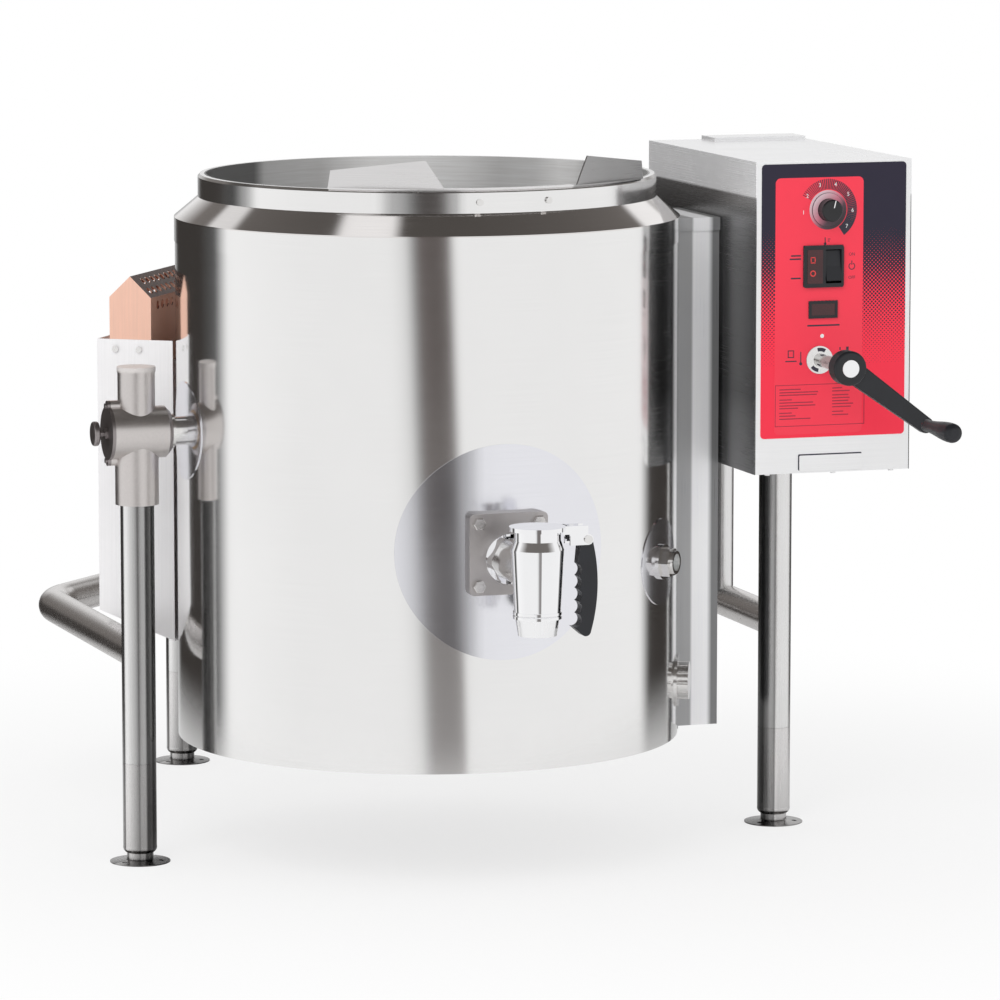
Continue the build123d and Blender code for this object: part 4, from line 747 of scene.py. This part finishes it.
# What the metal mirrors. Bands run round the room by bearing in degrees, with the camera's side at 0. Heights
# are a direction's Z.
dim = (0.045, 0.040, 0.037)
wallBands = [(-180, 0.5), (-168, 0.5), (-160, dim), (-126, dim), (-112, 0.10), (-102.5, 1.0), (-60, 0.93),
             (60, 0.93), (114, 0.95), (122, dim), (160, dim), (172, 0.5), (180, 0.5)]
gapBands = [(-16, 0.93), (-9, 0.80), (-5.5, 0.30), (-3, (0.125, 0.105, 0.10)), (4, (0.105, 0.09, 0.085)),
            (10, (0.12, 0.10, 0.095)), (13, 1.0), (20, 0.93)]
mirrorRoom = {"slant": 0.22, "level": 0.10, "gapHalf": 18, "fade": (-0.115, -0.17), "fadeShare": 0.22,
              "fadeTone": 0.93, "backTop": (0.02, 0.10), "sideTop": (0.38, 0.5), "behind": (-0.55, -0.35)}
ceilingTones = [(0.35, (0.20, 0.185, 0.175)), (1.0, (0.085, 0.078, 0.072))]
# Spots of light in the ceiling, each by its direction, its bright and its whole reach, and its strength.
spots = [((-0.10, -0.235, 0.97), 0.11, 0.15, 1.0), ((-0.81, 0.42, 0.41), 0.12, 0.18, 1.0),
         ((-0.66, -0.49, 0.57), 0.08, 0.13, 0.8), ((-0.97, 0.0, 0.20), 0.20, 0.45, 0.95)]
roomLight = 0.80        # what lights everything that doesn't mirror


def studioWorld():
    world = bpy.data.worlds.new("studioWorld")
    bpy.context.scene.world = world
    world.use_nodes = True
    tree = world.node_tree
    tree.nodes.clear()
    place = tree.nodes.new("ShaderNodeTexCoord").outputs["Generated"]
    turned = spun(tree, place, towardsFront)
    height = split(tree, place)[2]
    turn = bearing(tree, place)
    walls = ramp(tree, turn, degrees(wallBands))
    lean = sums(tree, "MULTIPLY", sums(tree, "ADD", height, mirrorRoom["level"]), mirrorRoom["slant"])
    gap = ramp(tree, sums(tree, "ADD", turn, lean), degrees(gapBands))
    fade = ranged(tree, height, *mirrorRoom["fade"], 0.0, mirrorRoom["fadeShare"])
    gap = mixed(tree, fade, gap, mirrorRoom["fadeTone"])
    offCentre = sums(tree, "ABSOLUTE", sums(tree, "SUBTRACT", turn, 0.5))
    walls = mixed(tree, sums(tree, "LESS_THAN", offCentre, mirrorRoom["gapHalf"] / 360), walls, gap)
    ceiling = ramp(tree, height, ceilingTones)
    for centre, inner, outer, strength in spots:
        reach = node(tree, "ShaderNodeVectorMath", operation="DISTANCE")
        tree.links.new(turned, reach.inputs[0])
        reach.inputs[1].default_value = centre
        share = ranged(tree, reach.outputs["Value"], inner, outer, strength, 0.0)
        ceiling = mixed(tree, share, ceiling, 1.0)
    back = mixed(tree, ranged(tree, height, *mirrorRoom["backTop"]), walls, ceiling)
    sides = mixed(tree, ranged(tree, height, *mirrorRoom["sideTop"]), walls, ceiling)
    behind = ranged(tree, split(tree, turned)[0], *mirrorRoom["behind"], 1.0, 0.0)
    mirrored = node(tree, "ShaderNodeBackground", in_1=1.0)
    tree.links.new(mixed(tree, behind, sides, back), mirrored.inputs[0])
    plain = node(tree, "ShaderNodeBackground", in_0=colourOf(roomLight), in_1=1.0)
    white = node(tree, "ShaderNodeBackground", in_0=(1, 1, 1, 1), in_1=1.0)
    path = tree.nodes.new("ShaderNodeLightPath")
    first, second = tree.nodes.new("ShaderNodeMixShader"), tree.nodes.new("ShaderNodeMixShader")
    tree.links.new(path.outputs["Is Glossy Ray"], first.inputs[0])
    tree.links.new(plain.outputs[0], first.inputs[1])
    tree.links.new(mirrored.outputs[0], first.inputs[2])
    direct = sums(tree, "MAXIMUM", path.outputs["Is Camera Ray"], path.outputs["Is Transmission Ray"])
    tree.links.new(direct, second.inputs[0])
    tree.links.new(first.outputs[0], second.inputs[1])
    tree.links.new(white.outputs[0], second.inputs[2])
    out = tree.nodes.new("ShaderNodeOutputWorld")
    tree.links.new(second.outputs[0], out.inputs[0])


keyLight = {"place": (-2.2, -2.6, 3.4), "aim": (0, 0, 0.5), "power": 60, "size": 2.4}
view = {"place": (-2.626, -8.318, 1.692), "lens": 204.6, "sensor": 36, "down": 7.72, "right": 18, "far": 100}
unmirrored = ["crank_arm", "crank_grip", "crank_cap", "crank_pin", "worm_shaft", "control_overlay"]


def studio():
    bpy.ops.mesh.primitive_plane_add(size=floorLook["size"])
    floor = settle(bpy.context.object)
    floor.name = "studio_floor"
    floor.data.materials.append(floorMaterial())
    studioWorld()
    bpy.ops.object.light_add(type="AREA", location=keyLight["place"])
    key = bpy.context.object
    key.data.energy, key.data.size = keyLight["power"], keyLight["size"]
    key.rotation_euler = (Vector(keyLight["aim"]) - key.location).to_track_quat("-Z", "Y").to_euler()
    key.visible_glossy = False
    bpy.ops.object.camera_add(location=view["place"])
    camera = bpy.context.object
    camera.data.lens, camera.data.sensor_width = view["lens"], view["sensor"]
    camera.data.clip_end = view["far"]
    camera.rotation_euler = (math.radians(90 - view["down"]), 0, math.radians(-view["right"]))
    bpy.context.scene.camera = camera
    bpy.context.scene.view_settings.view_transform = "Standard"


studio()
# The console doesn't shade the bright parts round it, and the panel and the crank don't show in the drum.
nodes["console_shell"].visible_diffuse = False
for piece in [bpy.data.objects["red_panel"]] + [nodes[name] for name in unmirrored]:
    piece.visible_glossy = False
print("studio set")
